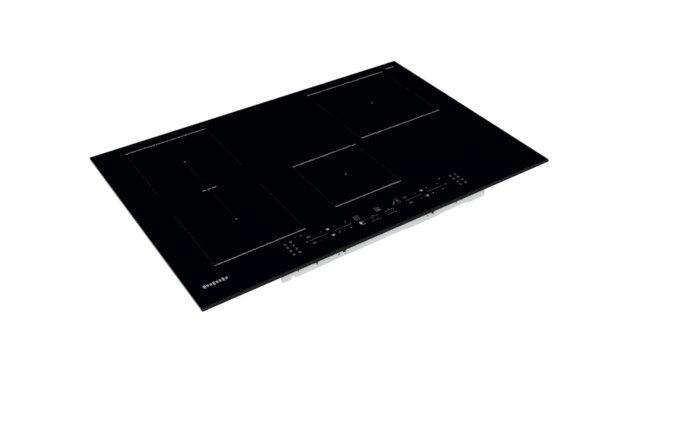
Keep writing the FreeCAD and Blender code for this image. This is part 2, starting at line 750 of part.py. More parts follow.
def make_controls():
    """The touch board with a sprung contact under each key, two displays in light guides, and its ribbon."""
    edge = "(housing_half - housing_wall - fit_gap * 2)"
    board = body("control_board")
    pad(board, "control_panel_board", "XY_Plane",
        [rectangle((f"-{edge}", edge), (f"housing_wall + fit_gap - {housing_front}",
                                        f"-{shelf_rear} - housing_wall - fit_gap"))],
        "board_thickness", control_low)
    keep(board, "control_board")

    columns = ("(housing_half - key_column_outer)", "(housing_half - key_column_inner)")
    rows = [f"(key_row_front + {row} * key_row_pitch)" for row in range(4)]
    slider = [f"({start} + {key} * slider_key_pitch)"
              for start in ("slider_inner", "slider_outer") for key in range(3)]
    places = [(f"{sign} * {x}", f"{y} - {glass_end}") for sign in SIDES.values() for x in columns for y in rows]
    places += [(f"{sign} * {x}", f"slider_row - {glass_end}") for sign in SIDES.values() for x in slider]
    places += [(x, f"middle_row - {glass_end}")
               for x in ("-pan_key_shift", "pan_key_shift", "tick_key_shift", "menu_key_shift")]
    springs = [ring(f"key_spring_{number}", x, y, (control_top, under_glass),
                    "key_spring_radius", "key_spring_radius - key_spring_wire")
               for number, (x, y) in enumerate(places)]
    keep(group("touch_springs", springs), "touch_springs")

    middle_y = f"display_row - {glass_end}"
    half = "display_side / 2"
    guides, modules = [], []
    for number, x in enumerate(("display_shift", "0")):
        guide = body(f"light_guide_{number}")
        outer = f"({half} + guide_gap + guide_wall)"
        inner = f"({half} + guide_gap)"
        pad(guide, f"guide_frame_{number}", "XY_Plane",
            [rectangle((f"{x} - {reach}", f"{x} + {reach}"), (f"{middle_y} - {reach}", f"{middle_y} + {reach}"))
             for reach in (outer, inner)],
            f"{under_glass} - {control_top}", control_top)
        guides.append(guide)
        modules.append(box(f"display_{number}", (f"{x} - {half}", f"{x} + {half}"),
                           (f"{middle_y} - {half}", f"{middle_y} + {half}"),
                           (control_top, f"{under_glass} - display_top_gap")))
    keep(group("light_guides", guides), "light_guides")
    keep(group("display_modules", modules), "display_modules")

    ribbon = body("ribbon_cable")
    back = f"(ribbon_fall_gap - {shelf_rear})"
    start = f"({back} - ribbon_tail)"
    end = f"({tray_front} + ribbon_reach)"
    foot = f"({end} - ribbon_foot)"
    low, low_under = f"({board_top} + ribbon_lift)", f"({board_top} + ribbon_lift - ribbon_thickness)"
    high, high_under = f"({control_low} - ribbon_thickness)", f"({control_low} - ribbon_thickness * 2)"
    pad(ribbon, "ribbon_strip", "YZ_Plane",
        [outline((start, high), (back, high), (back, low), (end, low), (end, board_top), (foot, board_top),
                 (foot, low_under), (f"{back} - ribbon_thickness", low_under),
                 (f"{back} - ribbon_thickness", high_under), (start, high_under))],
        "ribbon_width", ribbon_x)
    keep(ribbon, "ribbon_cable")


def make_zone(name, x, y, radius):
    """One coil: a former with lightening holes, spokes of ferrite, a flat winding and its mica sheet."""
    hub = "hub_radius"
    former = body(f"{name}_former")
    pad(former, f"{name}_disc", "XY_Plane",
        [circle("0.001", "0.001", f"{radius} + former_rim"),
         circle("0.001", "0.001", "sensor_flange + sensor_gap"),
         circle(hub, "0.001", "lead_hole")],
        "former_thickness", former_low)
    turn = math.radians(22.5)
    mid = f"(({radius} + {hub}) / 2)"
    hole = pocket(former, f"{name}_hole", "XY_Plane",
                  [circle(f"{mid} * {math.cos(turn):.5f}", f"{mid} * {math.sin(turn):.5f}", "former_hole")],
                  "former_thickness * 3", former_low, both_ways=True)
    repeat_round(former, f"{name}_holes", hole, 8)
    keep(place(former, x, y), f"{name}_former")

    bars = []
    for number in range(8):
        angle = math.radians(45 * number)
        across, along = math.cos(angle), math.sin(angle)
        start = f"({hub} + bar_inset)"
        bar = doc.addObject("Part::Box", f"{name}_bar_{number}")
        bar.Placement.Rotation = FreeCAD.Rotation(FreeCAD.Vector(0, 0, 1), 45 * number)
        bar.setExpression("Length", formula(f"{radius} - {start} - bar_inset"))
        bar.setExpression("Width", formula("bar_width"))
        bar.setExpression("Height", formula("ferrite_thickness"))
        place(bar, f"{start} * {across:.6f} + bar_width / 2 * {along:.6f}",
              f"{start} * {along:.6f} - bar_width / 2 * {across:.6f}", ferrite_low)
        bars.append(bar)
    keep(place(group(f"{name}_ferrites", bars), x, y), f"{name}_ferrites")

    for kind, low, thickness, outer, inner in (
            ("winding", winding_low, "winding_thickness", radius, hub),
            ("mica", mica_low, "mica_thickness", f"{radius} + former_rim", "sensor_radius + sensor_gap")):
        disc = body(f"{name}_{kind}")
        pad(disc, f"{name}_{kind}_disc", "XY_Plane",
            [circle("0.001", "0.001", outer), circle("0.001", "0.001", inner)], thickness, low)
        keep(place(disc, x, y), f"{name}_{kind}")


def make_coil_support():
    """What the four coils share: felts under the glass, sensors, soft pads, and the aluminium carrier."""
    felts, sensors, pads, holes = [], [], [], []
    for name, (x, y, radius) in ZONES.items():
        felts.append(ring(f"{name}_felt", x, y, (felt_low, under_glass), f"{radius} + former_rim",
                          "sensor_radius + sensor_gap"))
        flange = post(f"{name}_sensor_flange", x, y, (carrier_top, former_low), "sensor_flange")
        cap = post(f"{name}_sensor_cap", x, y, (former_low, under_glass), "sensor_radius")
        sensors.append(join(f"{name}_sensor", [flange, cap]))
        for number in range(4):
            angle = math.radians(45 + 90 * number)
            reach = f"({radius} - pad_radius - pad_inset)"
            pads.append(post(f"{name}_pad_{number}", f"{x} + {reach} * {math.cos(angle):.6f}",
                             f"{y} + {reach} * {math.sin(angle):.6f}", (carrier_top, former_low), "pad_radius"))
        holes.append(circle(f"{x} + hub_radius", y, "lead_hole"))
    keep(group("insulation_felts", felts), "insulation_felts")
    keep(group("zone_sensors", sensors), "zone_sensors")
    keep(group("coil_pads", pads), "coil_pads")
    carrier = body("coil_carrier")
    edge = f"({inner_side} - carrier_gap)"
    front, rear = f"(carrier_front_gap - {shelf_rear})", f"({inner_rear} - carrier_gap)"
    pad(carrier, "carrier_plate", "XY_Plane", [rectangle((f"-{edge}", edge), (front, rear))] + holes,
        "carrier_thickness", carrier_low)
    keep(carrier, "coil_carrier")
    near, far = f"({front} + pillar_front_inset)", f"({rear} - pillar_rear_inset)"
    spots = [(f"{sign} * ({edge} - pillar_side_inset)", y) for sign in SIDES.values() for y in (near, "0", far)]
    spots += [("0", near), ("0", far)]
    keep(group("carrier_pillars", [post(f"pillar_{number}", x, y, ("pan_wall", carrier_low), "pillar_radius")
                                   for number, (x, y) in enumerate(spots)]), "carrier_pillars")


def make_power(name, side):
    """A power board in its tray, with a finned heat sink across the fan's outlet."""
    near, far = duct_side, f"({inner_side} - tray_margin)"
    tray = body(f"board_tray_{name}")
    limits = mirrored(side, near, far)
    pad(tray, f"tray_floor_{name}", "XY_Plane", [rectangle(limits, (tray_front, tray_rear))],
        "tray_wall", "pan_wall")
    inset = mirrored(side, f"{near} + tray_wall", f"{far} - tray_wall")
    pad(tray, f"tray_rim_{name}", "XY_Plane",
        [rectangle(limits, (tray_front, tray_rear)),
         rectangle(inset, (f"{tray_front} + tray_wall", f"{tray_rear} - tray_wall"))],
        "tray_wall + tray_rise", "pan_wall")
    inner_near, inner_far = f"({near} + tray_wall + board_edge_gap)", f"({far} - tray_wall - board_edge_gap)"
    low_y = f"({tray_front} + tray_wall + board_edge_gap)"
    high_y = f"({tray_rear} - tray_wall - board_edge_gap)"
    corners = [(x, y) for x in (f"{inner_near} + standoff_inset", f"{inner_far} - standoff_inset")
               for y in (f"{low_y} + standoff_inset", f"{high_y} - standoff_inset")]
    for number, (x, y) in enumerate(corners):
        pad(tray, f"standoff_{name}_{number}", "XY_Plane", [circle(f"{side} * ({x})", y, "standoff_radius")],
            "tray_wall + standoff_height", "pan_wall")
    keep(tray, f"board_tray_{name}")

    board = body(f"power_board_{name}")
    pad(board, f"power_panel_{name}", "XY_Plane",
        [rectangle(mirrored(side, inner_near, inner_far), (low_y, high_y))],
        "board_thickness", board_low)
    keep(board, f"power_board_{name}")

    sink = body(f"heat_sink_{name}")
    sink_x = mirrored(side, f"{inner_near} + sink_margin", f"{inner_far} - sink_margin")
    sink_y = ("(fan_forward - sink_depth / 2)", "(fan_forward + sink_depth / 2)")
    pad(sink, f"sink_base_{name}", "XY_Plane", [rectangle(sink_x, sink_y)], "sink_base", board_top)
    fin = pad(sink, f"sink_fin_{name}", "YZ_Plane",
              [rectangle((sink_y[0], f"{sink_y[0]} + fin_thickness"), (board_top, roof))],
              f"({sink_x[1]}) - ({sink_x[0]})", sink_x[0])
    repeat_line(sink, f"sink_fins_{name}", fin, "H_Axis", "sink_depth - fin_thickness",
                round(value("(sink_depth - fin_thickness) / fin_pitch")) + 1)
    keep(sink, f"heat_sink_{name}")
    return sink_x, sink_y, (inner_near, inner_far), (low_y, high_y)


def make_electronics():
    transistors, capacitors, chokes = [], [], []
    for name, side in SIDES.items():
        sink_x, sink_y, board_x, board_y = make_power(name, side)
        spread = f"(({sink_x[1]}) - ({sink_x[0]}) - 2 * transistor_inset - transistor_width)"
        for number in range(5):
            x = f"({sink_x[0]} + transistor_inset + {number} * {spread} / 4)"
            transistors.append(box(f"transistor_{name}_{number}", (x, f"{x} + transistor_width"),
                                   (f"{sink_y[0]} - transistor_thickness", sink_y[0]),
                                   (board_top, f"{roof} - transistor_roof_gap")))
        for number in range(4):
            x = f"{side} * ({board_x[0]} + capacitor_inset + {number} * capacitor_pitch)"
            capacitors.append(post(f"capacitor_{name}_{number}", x, f"{board_y[1]} - capacitor_rear_gap",
                                   (board_top, roof), "capacitor_radius"))
        for number in range(2):
            x = f"{side} * ({board_x[0]} + choke_inset + {number} * choke_pitch)"
            chokes.append(ring(f"choke_{name}_{number}", x, f"{board_y[0]} + choke_front_gap",
                               (board_top, f"{board_top} + choke_height"), "choke_radius", "choke_bore"))
    keep(group("power_transistors", transistors), "power_transistors")
    keep(group("capacitors", capacitors), "capacitors")
    keep(group("chokes", chokes), "chokes")


def make_fan(name, side):
    """A radial fan over its inlet grille: housing, fixed motor and shaft, and the bladed wheel."""
    x, y = f"({side} * fan_shift)", "fan_forward"
    half = "fan_side / 2"
    shell = box(f"fan_shell_{name}", (f"{x} - {half}", f"{x} + {half}"), (f"{y} - {half}", f"{y} + {half}"),
                ("pan_wall", roof))
    chamber = post(f"fan_chamber_{name}", x, y, ("pan_wall - 1", f"{roof} - fan_wall"), "chamber_radius")
    outlet = box(f"fan_outlet_{name}", mirrored(side, "fan_shift", f"fan_shift + {half} + 1"),
                 (f"{y} - outlet_width / 2", f"{y} + outlet_width / 2"),
                 ("pan_wall + fan_wall", f"{roof} - fan_wall"))
    keep(cut(f"fan_housing_{name}", shell, [chamber, outlet]), f"fan_housing_{name}")

    motor_top = f"({roof} - fan_wall)"
    motor_low = f"({motor_top} - motor_height)"
    shaft_low = "(pan_wall + wheel_gap)"
    keep(join(f"fan_motor_{name}", [post(f"stator_{name}", x, y, (motor_low, motor_top), "motor_radius"),
                                    post(f"shaft_{name}", x, y, (shaft_low, motor_top), "shaft_radius")]),
         f"fan_motor_{name}")

    wheel = body(f"fan_wheel_{name}")
    disc_top = f"({motor_low} - disc_gap)"
    disc_low = f"({disc_top} - wheel_disc)"
    pad(wheel, f"wheel_disc_{name}", "XY_Plane", [circle("0.001", "0.001", "wheel_radius")],
        "wheel_disc", disc_low)
    pad(wheel, f"wheel_boss_{name}", "XY_Plane", [circle("0.001", "0.001", "hub_boss")],
        f"{disc_top} - {shaft_low} - boss_lift", f"{shaft_low} + boss_lift")
    blade = pad(wheel, f"blade_{name}", "XY_Plane",
                [outline(("wheel_inner", "0.01"), ("wheel_radius - blade_tip_gap", "blade_sweep"),
                         ("wheel_radius - blade_tip_gap", "blade_sweep + blade_thickness"),
                         ("wheel_inner", "blade_thickness"))],
                f"{disc_top} - {shaft_low}", shaft_low)
    repeat_round(wheel, f"blades_{name}", blade, FAN_BLADES)
    doc.recompute()
    pad(wheel, f"wheel_rim_{name}", "XY_Plane",
        [circle("0.001", "0.001", "wheel_radius"), circle("0.001", "0.001", "wheel_radius - wheel_rim")],
        "wheel_disc", shaft_low)
    pocket(wheel, f"wheel_bore_{name}", "XY_Plane", [circle("0.001", "0.001", "shaft_radius + running_gap")],
           "overall_height", disc_low, both_ways=True)
    keep(place(wheel, x, y), f"fan_wheel_{name}")


def make_terminal():
    """The mains box in the rear wall: a boss for the cable, a block with screws, a clamp and a hinged lid."""
    left, right = box_left, box_right
    rear = f"({pan_rear} + fit_gap)"
    front = f"({pan_rear} - terminal_depth)"
    low = "(pan_wall + terminal_lift)"
    shell = box("terminal_shell", (left, right), (front, rear), (low, roof))
    room_left = f"({left} + box_wall)"
    lid_right = f"({room_left} + lid_width)"
    room_height = (f"{low} + box_wall", f"{roof} - box_wall")
    cavity = box("terminal_room", (room_left, f"{right} - box_wall"),
                 (f"{front} + box_wall", f"{rear} - box_wall - lid_thickness"), room_height)
    mouth = box("terminal_mouth", (room_left, lid_right), (f"{rear} - mouth_depth", f"{rear} + 1"), room_height)
    cable_x = f"({right} - box_wall - cable_side_gap)"
    cable_z = f"({low} + cable_height)"
    boss = rod("cable_boss", "y", cable_x, f"{rear} - box_wall - cable_boss_depth", cable_z,
               "box_wall + cable_boss_depth", "cable_radius + cable_boss")
    hole = rod("cable_hole", "y", cable_x, f"{rear} - cable_bore_depth", cable_z, "cable_bore_depth + 10",
               "cable_radius")
    pin_z = f"({roof} - box_wall - pin_radius - lid_gap)"
    pin_y = f"({rear} - pin_radius)"
    socket_reach = "(pin_reach + pin_end_gap)"
    sockets = rod("pin_sockets", "x", f"{room_left} - {socket_reach}", pin_y, pin_z,
                  f"lid_width + {socket_reach} * 2", "pin_radius + running_gap")
    post_right = box("lid_post", (lid_right, f"{lid_right} + box_wall"), (f"{rear} - mouth_depth", rear),
                     (low, roof))
    walls = join("terminal_walls", [cut("terminal_hollow", shell, [cavity, mouth]), boss, post_right])
    keep(cut("terminal_box", walls, [hole, sockets]), "terminal_box")

    lid = box("lid_panel", (f"{room_left} + lid_gap", f"{lid_right} - lid_gap"),
              (f"{rear} - lid_thickness", rear), (f"{low} + box_wall + lid_gap", pin_z))
    barrel = rod("lid_barrel", "x", f"{room_left} + lid_gap", pin_y, pin_z, "lid_width - lid_gap * 2",
                 "pin_radius")
    pins = rod("lid_pins", "x", f"{room_left} - pin_reach", pin_y, pin_z, "lid_width + pin_reach * 2",
               "pin_radius")
    keep(join("terminal_lid", [lid, barrel, pins]), "terminal_lid")

    block_left = f"({room_left} + block_side_gap)"
    block_front = f"({front} + box_wall + block_front_gap)"
    block_low = f"({low} + box_wall)"
    block_rise = f"min(block_height; {roof} - box_wall - {block_low} - block_roof_gap)"
    block_top = f"({block_low} + {block_rise})"
    block = body("terminal_block")
    pad(block, "block_bar", "XY_Plane",
        [rectangle((block_left, f"{block_left} + block_width"), (block_front, f"{block_front} + block_depth"))],
        block_rise, block_low)
    well = pocket(block, "screw_well", "XY_Plane",
                  [circle(f"{block_left} + block_width / 12", f"{block_front} + block_depth / 2",
                          "screw_radius + well_gap")], "well_depth", block_top)
    repeat_line(block, "screw_wells", well, "H_Axis", "block_width * 5 / 6", 6)
    keep(block, "terminal_block")
    keep(group("terminal_screws",
               [post(f"terminal_screw_{number}", f"{block_left} + block_width * {2 * number + 1} / 12",
                     f"{block_front} + block_depth / 2",
                     (f"{block_top} - well_depth", f"{block_top} - screw_sunk"), "screw_radius")
                for number in range(6)]), "terminal_screws")

    clamp_y = (f"{rear} - clamp_inset - clamp_depth", f"{rear} - clamp_inset")
    strap_low = f"({cable_z} + cable_radius - clamp_bite)"
    strap = box("clamp_strap", (f"{cable_x} - clamp_half", f"{cable_x} + clamp_half"), clamp_y,
                (strap_low, f"{strap_low} + clamp_strap"))
    feet = [box(f"clamp_foot_{name}", limits, clamp_y, (block_low, strap_low))
            for name, limits in (("left", (f"{cable_x} - clamp_half", f"{cable_x} - clamp_half + clamp_foot")),
                                 ("right", (f"{cable_x} + clamp_half - clamp_foot",
                                            f"{cable_x} + clamp_half")))]
    keep(join("cord_clamp", [strap] + feet), "cord_clamp")


CLIP_PLACES = {"front": f"(clip_front_inset - {glass_end})", "rear": f"({glass_end} - clip_rear_inset)"}


def side_head(name, side, seat, y, z):
    """A screw head that stands on a side wall."""
    return rod(name, "x", f"{side} * ({seat} + head_height / 2) - head_height / 2", y, z, "head_height",
               "screw_head")


def make_clips():
    """Four hairpin side springs: a leg screwed to the pan's wall, and a tongue that gives at the fold."""
    legs, screws = [], []
    fold_z = f"({pan_top} - clip_top_gap)"
    swell_z, tail_z = f"({fold_z} - clip_drop)", f"({fold_z} - tail_drop)"
    outer = f"({pan_side} + clip_metal)"
    for name, side in SIDES.items():
        for end, y in CLIP_PLACES.items():
            legs.append(box(f"clip_leg_{name}_{end}", mirrored(side, pan_side, outer),
                            (f"{y} - clip_width / 2", f"{y} + clip_width / 2"),
                            (f"{fold_z} - clip_leg", fold_z)))
            screws.append(side_head(f"clip_head_{name}_{end}", side, outer, y, f"{fold_z} - clip_screw_drop"))
            tongue = body(f"clip_{name}_{end}")
            start, swell, tail = f"({outer} + fit_gap)", f"({outer} + clip_swell)", f"({outer} + clip_tail)"
            points = ((start, fold_z), (f"{start} + clip_metal", fold_z), (swell, swell_z), (tail, tail_z),
                      (f"{tail} - clip_metal", f"{tail_z} + clip_tail_cut"),
                      (f"{swell} - clip_swell_metal", swell_z), (start, f"{fold_z} - clip_metal"))
            pad(tongue, f"tongue_{name}_{end}", "XZ_Plane",
                [outline(*((f"{side} * ({x})", z) for x, z in points))], "clip_width",
                f"-({y}) - clip_width / 2")
            keep(tongue, f"clip_{name}_{end}")
    keep(group("clip_legs", legs), "clip_legs")
    keep(group("clip_screws", screws), "clip_screws")


def make_pan_screws():
    """Screws that hold the pan's walls to the frame's legs."""
    z = f"({pan_top} - pan_screw_drop)"
    places = {"front": f"({CLIP_PLACES['front']} + side_screw_front_gap)",
              "rear": f"({CLIP_PLACES['rear']} - side_screw_rear_gap)"}
    heads = [side_head(f"side_screw_{name}_{end}", side, pan_side, y, z)
             for end, y in places.items() for name, side in SIDES.items()]
    for number in (-1, 0, 1):
        heads.append(rod(f"rear_screw_{number + 2}", "y", f"{number} * ({pan_side} - rear_screw_inset)",
                         pan_rear, z, "head_height", "screw_head"))
    keep(group("pan_screws", heads), "pan_screws")


def lead(name, points, radius):
    """A tube along straight runs joined by tangent arcs."""
    corners = [FreeCAD.Vector(*(value(text) for text in point)) for point in points]
    edges, start = [], corners[0]
    for before, corner, after in zip(corners, corners[1:], corners[2:]):
        into, out = (corner - before).normalize(), (after - corner).normalize()
        turn = into.getAngle(out)
        slope = math.tan(turn / 2)
        bend = min(0.4 * min((corner - before).Length, (after - corner).Length) / slope, value("lead_bend"))
        reach = bend * slope
        arc_in, arc_out = corner - into * reach, corner + out * reach
        centre_way = (out - into).normalize()
        middle = corner + centre_way * (bend / math.cos(turn / 2) - bend)
        edges += [Part.LineSegment(start, arc_in).toShape(), Part.Arc(arc_in, middle, arc_out).toShape()]
        start = arc_out
    edges.append(Part.LineSegment(start, corners[-1]).toShape())
    path = Part.Wire(edges)
    first = (corners[1] - corners[0]).normalize()
    section = Part.Wire([Part.Circle(corners[0], first, value(radius)).toShape()])
    tube = doc.addObject("Part::Feature", name)
    tube.Shape = path.makePipeShell([section], True, False)
    return tube


def make_leads():
    """A pair of leads from each winding's inner end, through the carrier and over to the nearer power board."""
    level = f"({roof} + lead_lift)"
    leads = []
    for name, (x, y, _) in ZONES.items():
        start = f"{x} + hub_radius"
        target = f"{math.copysign(1, value(x)):.0f} * ({duct_side} + lead_landing)"
        for number, offset in enumerate(("-lead_spacing", "lead_spacing")):
            strand = f"{y} + {offset} / 2"
            leads.append(lead(f"{name}_lead_{number}",
                              [(start, strand, winding_low), (start, strand, level), (target, strand, level),
                               (target, strand, board_top)], "lead_radius"))
    keep(group("coil_leads", leads), "coil_leads")


make_glass()
make_seal()
make_frame()
make_pan()
make_housing()
make_controls()
for zone_name, (zone_x, zone_y, zone_radius) in ZONES.items():
    make_zone(zone_name, zone_x, zone_y, zone_radius)
make_coil_support()
make_electronics()
for fan_name, fan_sign in SIDES.items():
    make_fan(fan_name, fan_sign)
make_terminal()
make_clips()
make_pan_screws()
make_leads()
doc.recompute()

for thing in doc.Objects:
    if {"Invalid", "Error"} & set(thing.State):
        raise RuntimeError(f"{thing.Name} failed: {thing.State}")
for piece in subparts:
    if piece.Shape.isNull() or not piece.Shape.isValid():
        raise RuntimeError(f"{piece.Label} has no valid shape")
os.makedirs("parts", exist_ok=True)
for piece in subparts:
    piece.Shape.exportStep(f"parts/{piece.Label}.step")
    limits = piece.Shape.BoundBox
    print(f"{piece.Label}: {len(piece.Shape.Solids)} solid, {limits.XLength:.1f} x {limits.YLength:.1f} x "
          f"{limits.ZLength:.1f}, z {limits.ZMin:.1f} to {limits.ZMax:.1f}")
print(f"{len(subparts)} sub-parts")
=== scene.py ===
import json
import math
import bmesh
import bpy
import numpy as np
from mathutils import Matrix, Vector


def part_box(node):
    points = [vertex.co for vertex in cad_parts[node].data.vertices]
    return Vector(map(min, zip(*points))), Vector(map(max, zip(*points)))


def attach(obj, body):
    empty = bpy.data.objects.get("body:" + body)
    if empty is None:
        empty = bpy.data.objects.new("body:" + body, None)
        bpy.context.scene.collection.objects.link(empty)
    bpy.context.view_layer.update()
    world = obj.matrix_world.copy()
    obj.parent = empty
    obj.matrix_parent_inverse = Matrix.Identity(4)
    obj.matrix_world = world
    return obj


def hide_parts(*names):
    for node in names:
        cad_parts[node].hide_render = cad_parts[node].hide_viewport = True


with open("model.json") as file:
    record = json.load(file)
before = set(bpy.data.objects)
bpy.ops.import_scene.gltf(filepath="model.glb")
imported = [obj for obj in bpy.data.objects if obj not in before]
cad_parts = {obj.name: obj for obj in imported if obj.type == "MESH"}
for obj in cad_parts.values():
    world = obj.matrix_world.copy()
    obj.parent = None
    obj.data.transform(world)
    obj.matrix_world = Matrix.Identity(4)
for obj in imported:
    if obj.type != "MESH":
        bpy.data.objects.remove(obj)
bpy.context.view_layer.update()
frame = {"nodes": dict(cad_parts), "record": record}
mm = 0.001
print("frame loaded:", len(frame["nodes"]), "nodes")

glassLow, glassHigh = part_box("glass_plate")
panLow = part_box("bottom_pan")[0]
glassTop = glassHigh.z
frontEdge = glassLow.y

# the camera stands in front and to the left, looking down at the plate; heights are above the glass
camera = {"place": (-0.69687, -1.07287, 0.86942), "target": (-0.09753, -0.15190, 0.0), "lens": 39.68,
          "shiftX": 0.0424}


def aimAt(item, target):
    direction = np.array(target) - np.array(item.location)
    item.rotation_euler = (math.acos(-direction[2] / np.linalg.norm(direction)), 0.0,
                           math.atan2(-direction[0], direction[1]))


def addCamera():
    data = bpy.data.cameras.new("camera")
    data.lens = camera["lens"]
    data.sensor_width = 36.0
    data.shift_x = camera["shiftX"]
    item = bpy.data.objects.new("camera", data)
    bpy.context.scene.collection.objects.link(item)
    item.location = np.array(camera["place"]) + (0, 0, glassTop)
    aimAt(item, np.array(camera["target"]) + (0, 0, glassTop))
    bpy.context.scene.camera = item


# soft lamps in front and above; they light the print and the housing but aren't mirrored in the glass
lamps = {
    "keyLamp": {"place": (-1.9, -2.6, 2.6), "size": 2.2, "power": 60},
    "fillLamp": {"place": (2.6, -2.4, 2.2), "size": 2.0, "power": 36},
    "topLamp": {"place": (0.5, -1.0, 3.2), "size": 1.6, "power": 44},
    "backLamp": {"place": (-3.0, 2.6, 1.2), "size": 1.8, "power": 30},
}


def addLamps():
    for name, lamp in lamps.items():
        data = bpy.data.lights.new(name, "AREA")
        data.shape = "DISK"
        data.size = lamp["size"]
        data.energy = lamp["power"]
        item = bpy.data.objects.new(name, data)
        bpy.context.scene.collection.objects.link(item)
        item.location = lamp["place"]
        item.visible_glossy = False
        aimAt(item, (0, 0, glassTop))


# a white studio sky that is black on the far side, where the front view is mirrored in the glass
sky = {"seen": 1.0, "glow": 0.40, "darkSide": (0.42, 0.67, 0.61), "darkWithin": 32.0, "fadedAt": 66.0}


def addSky():
    world = bpy.data.worlds.new("sky")
    bpy.context.scene.world = world
    world.use_nodes = True
    tree = world.node_tree
    direction = tree.nodes.new("ShaderNodeTexCoord").outputs["Object"]
    facing = tree.nodes.new("ShaderNodeVectorMath")
    facing.operation = "DOT_PRODUCT"
    facing.inputs[1].default_value = sky["darkSide"]
    tree.links.new(direction, facing.inputs[0])
    glow = tree.nodes.new("ShaderNodeMapRange")
    glow.interpolation_type = "SMOOTHSTEP"
    glow.inputs["From Min"].default_value = math.cos(math.radians(sky["darkWithin"]))
    glow.inputs["From Max"].default_value = math.cos(math.radians(sky["fadedAt"]))
    glow.inputs["To Min"].default_value = 0.0
    glow.inputs["To Max"].default_value = sky["glow"]
    tree.links.new(facing.outputs["Value"], glow.inputs["Value"])
    mix = tree.nodes.new("ShaderNodeMix")
    tree.links.new(tree.nodes.new("ShaderNodeLightPath").outputs["Is Camera Ray"], mix.inputs["Factor"])
    tree.links.new(glow.outputs["Result"], mix.inputs["A"])
    mix.inputs["B"].default_value = sky["seen"]
    tree.links.new(mix.outputs["Result"], tree.nodes["Background"].inputs["Strength"])
    tree.nodes["Background"].inputs["Color"].default_value = (1, 1, 1, 1)


# the floor glows like a light table, a little less close to the hob so that it keeps a faint shadow
floor = {"size": 16.0, "glowNear": 0.95, "glowFar": 1.0, "nearRadius": 0.7, "farRadius": 2.2, "colour": 0.10}


def addFloor():
    half = floor["size"] / 2
    low = panLow.z - 0.2 * mm
    mesh = bpy.data.meshes.new("floor")
    corners = [(-half, -half, low), (half, -half, low), (half, half, low), (-half, half, low)]
    mesh.from_pydata(corners, [], [(0, 1, 2, 3)])
    item = bpy.data.objects.new("floor", mesh)
    bpy.context.scene.collection.objects.link(item)
    material, tree, shader, place = newMaterial("floorWhite")
    tree.links.new(rampOf(tree, noiseOf(tree, place, 3), [floor["colour"] * 0.99] * 3, [floor["colour"]] * 3),
                   shader.inputs["Base Color"])
    shader.inputs["Roughness"].default_value = 0.9
    shader.inputs["Specular IOR Level"].default_value = 0.1
    shader.inputs["Emission Color"].default_value = (1, 1, 1, 1)
    reach = tree.nodes.new("ShaderNodeVectorMath")
    reach.operation = "LENGTH"
    tree.links.new(place, reach.inputs[0])
    tree.links.new(rangeOf(tree, reach.outputs["Value"], floor["glowNear"], floor["glowFar"],
                           floor["nearRadius"], floor["farRadius"]), shader.inputs["Emission Strength"])
    mesh.materials.append(material)


# ---- materials: every pattern reads Object coordinates, in metres
def newMaterial(name):
    material = bpy.data.materials.new(name)
    material.use_nodes = True
    tree = material.node_tree
    shader = tree.nodes["Principled BSDF"]
    place = tree.nodes.new("ShaderNodeTexCoord").outputs["Object"]
    return material, tree, shader, place


def stretched(tree, place, stretch):
    mapping = tree.nodes.new("ShaderNodeMapping")
    mapping.inputs["Scale"].default_value = stretch
    tree.links.new(place, mapping.inputs["Vector"])
    return mapping.outputs["Vector"]


def noiseOf(tree, place, scale, detail=3.0, stretch=(1, 1, 1)):
    noise = tree.nodes.new("ShaderNodeTexNoise")
    noise.inputs["Scale"].default_value = scale
    noise.inputs["Detail"].default_value = detail
    tree.links.new(stretched(tree, place, stretch), noise.inputs["Vector"])
    return noise.outputs["Fac"]


def rampOf(tree, value, low, high, fromLow=0.3, fromHigh=0.7):
    ramp = tree.nodes.new("ShaderNodeValToRGB")
    ramp.color_ramp.elements[0].position = fromLow
    ramp.color_ramp.elements[1].position = fromHigh
    ramp.color_ramp.elements[0].color = (*low, 1)
    ramp.color_ramp.elements[1].color = (*high, 1)
    tree.links.new(value, ramp.inputs["Fac"])
    return ramp.outputs["Color"]


def rangeOf(tree, value, low, high, fromLow=0.3, fromHigh=0.7):
    spread = tree.nodes.new("ShaderNodeMapRange")
    for socket, number in zip(("From Min", "From Max", "To Min", "To Max"), (fromLow, fromHigh, low, high)):
        spread.inputs[socket].default_value = number
    tree.links.new(value, spread.inputs["Value"])
    return spread.outputs["Result"]


def mixOf(tree, factor, first, second, kind="FLOAT"):
    mix = tree.nodes.new("ShaderNodeMix")
    mix.data_type = kind
    tree.links.new(factor, mix.inputs["Factor"])
    sockets = [socket for socket in mix.inputs if socket.enabled and socket.name in "AB"]
    for socket, given in zip(sockets, (first, second)):
        if hasattr(given, "node"):
            tree.links.new(given, socket)
        else:
            socket.default_value = given
    return next(socket for socket in mix.outputs if socket.enabled)


def bumpOf(tree, shader, height, strength, distance):
    bump = tree.nodes.new("ShaderNodeBump")
    bump.inputs["Strength"].default_value = strength
    bump.inputs["Distance"].default_value = distance
    tree.links.new(height, bump.inputs["Height"])
    tree.links.new(bump.outputs["Normal"], shader.inputs["Normal"])


def finish(name, low, high, rough, metallic=0.0, grain=(400, 0.1, 0.0002), stretch=(1, 1, 1), specular=0.5,
           sheen=0.0):
    # two tones in broad clouds, a fine grain in the roughness, and the same grain raised a little; grain is
    # its scale, its bump strength and its bump height
    material, tree, shader, place = newMaterial(name)
    shader.inputs["Metallic"].default_value = metallic
    shader.inputs["Specular IOR Level"].default_value = specular
    shader.inputs["Sheen Weight"].default_value = sheen
    broad = noiseOf(tree, place, 14, 4.0, stretch)
    fine = noiseOf(tree, place, grain[0], 2.0, stretch)
    tree.links.new(rampOf(tree, broad, low, high), shader.inputs["Base Color"])
    tree.links.new(rangeOf(tree, fine, *rough), shader.inputs["Roughness"])
    bumpOf(tree, shader, fine, grain[1], grain[2])
    return material


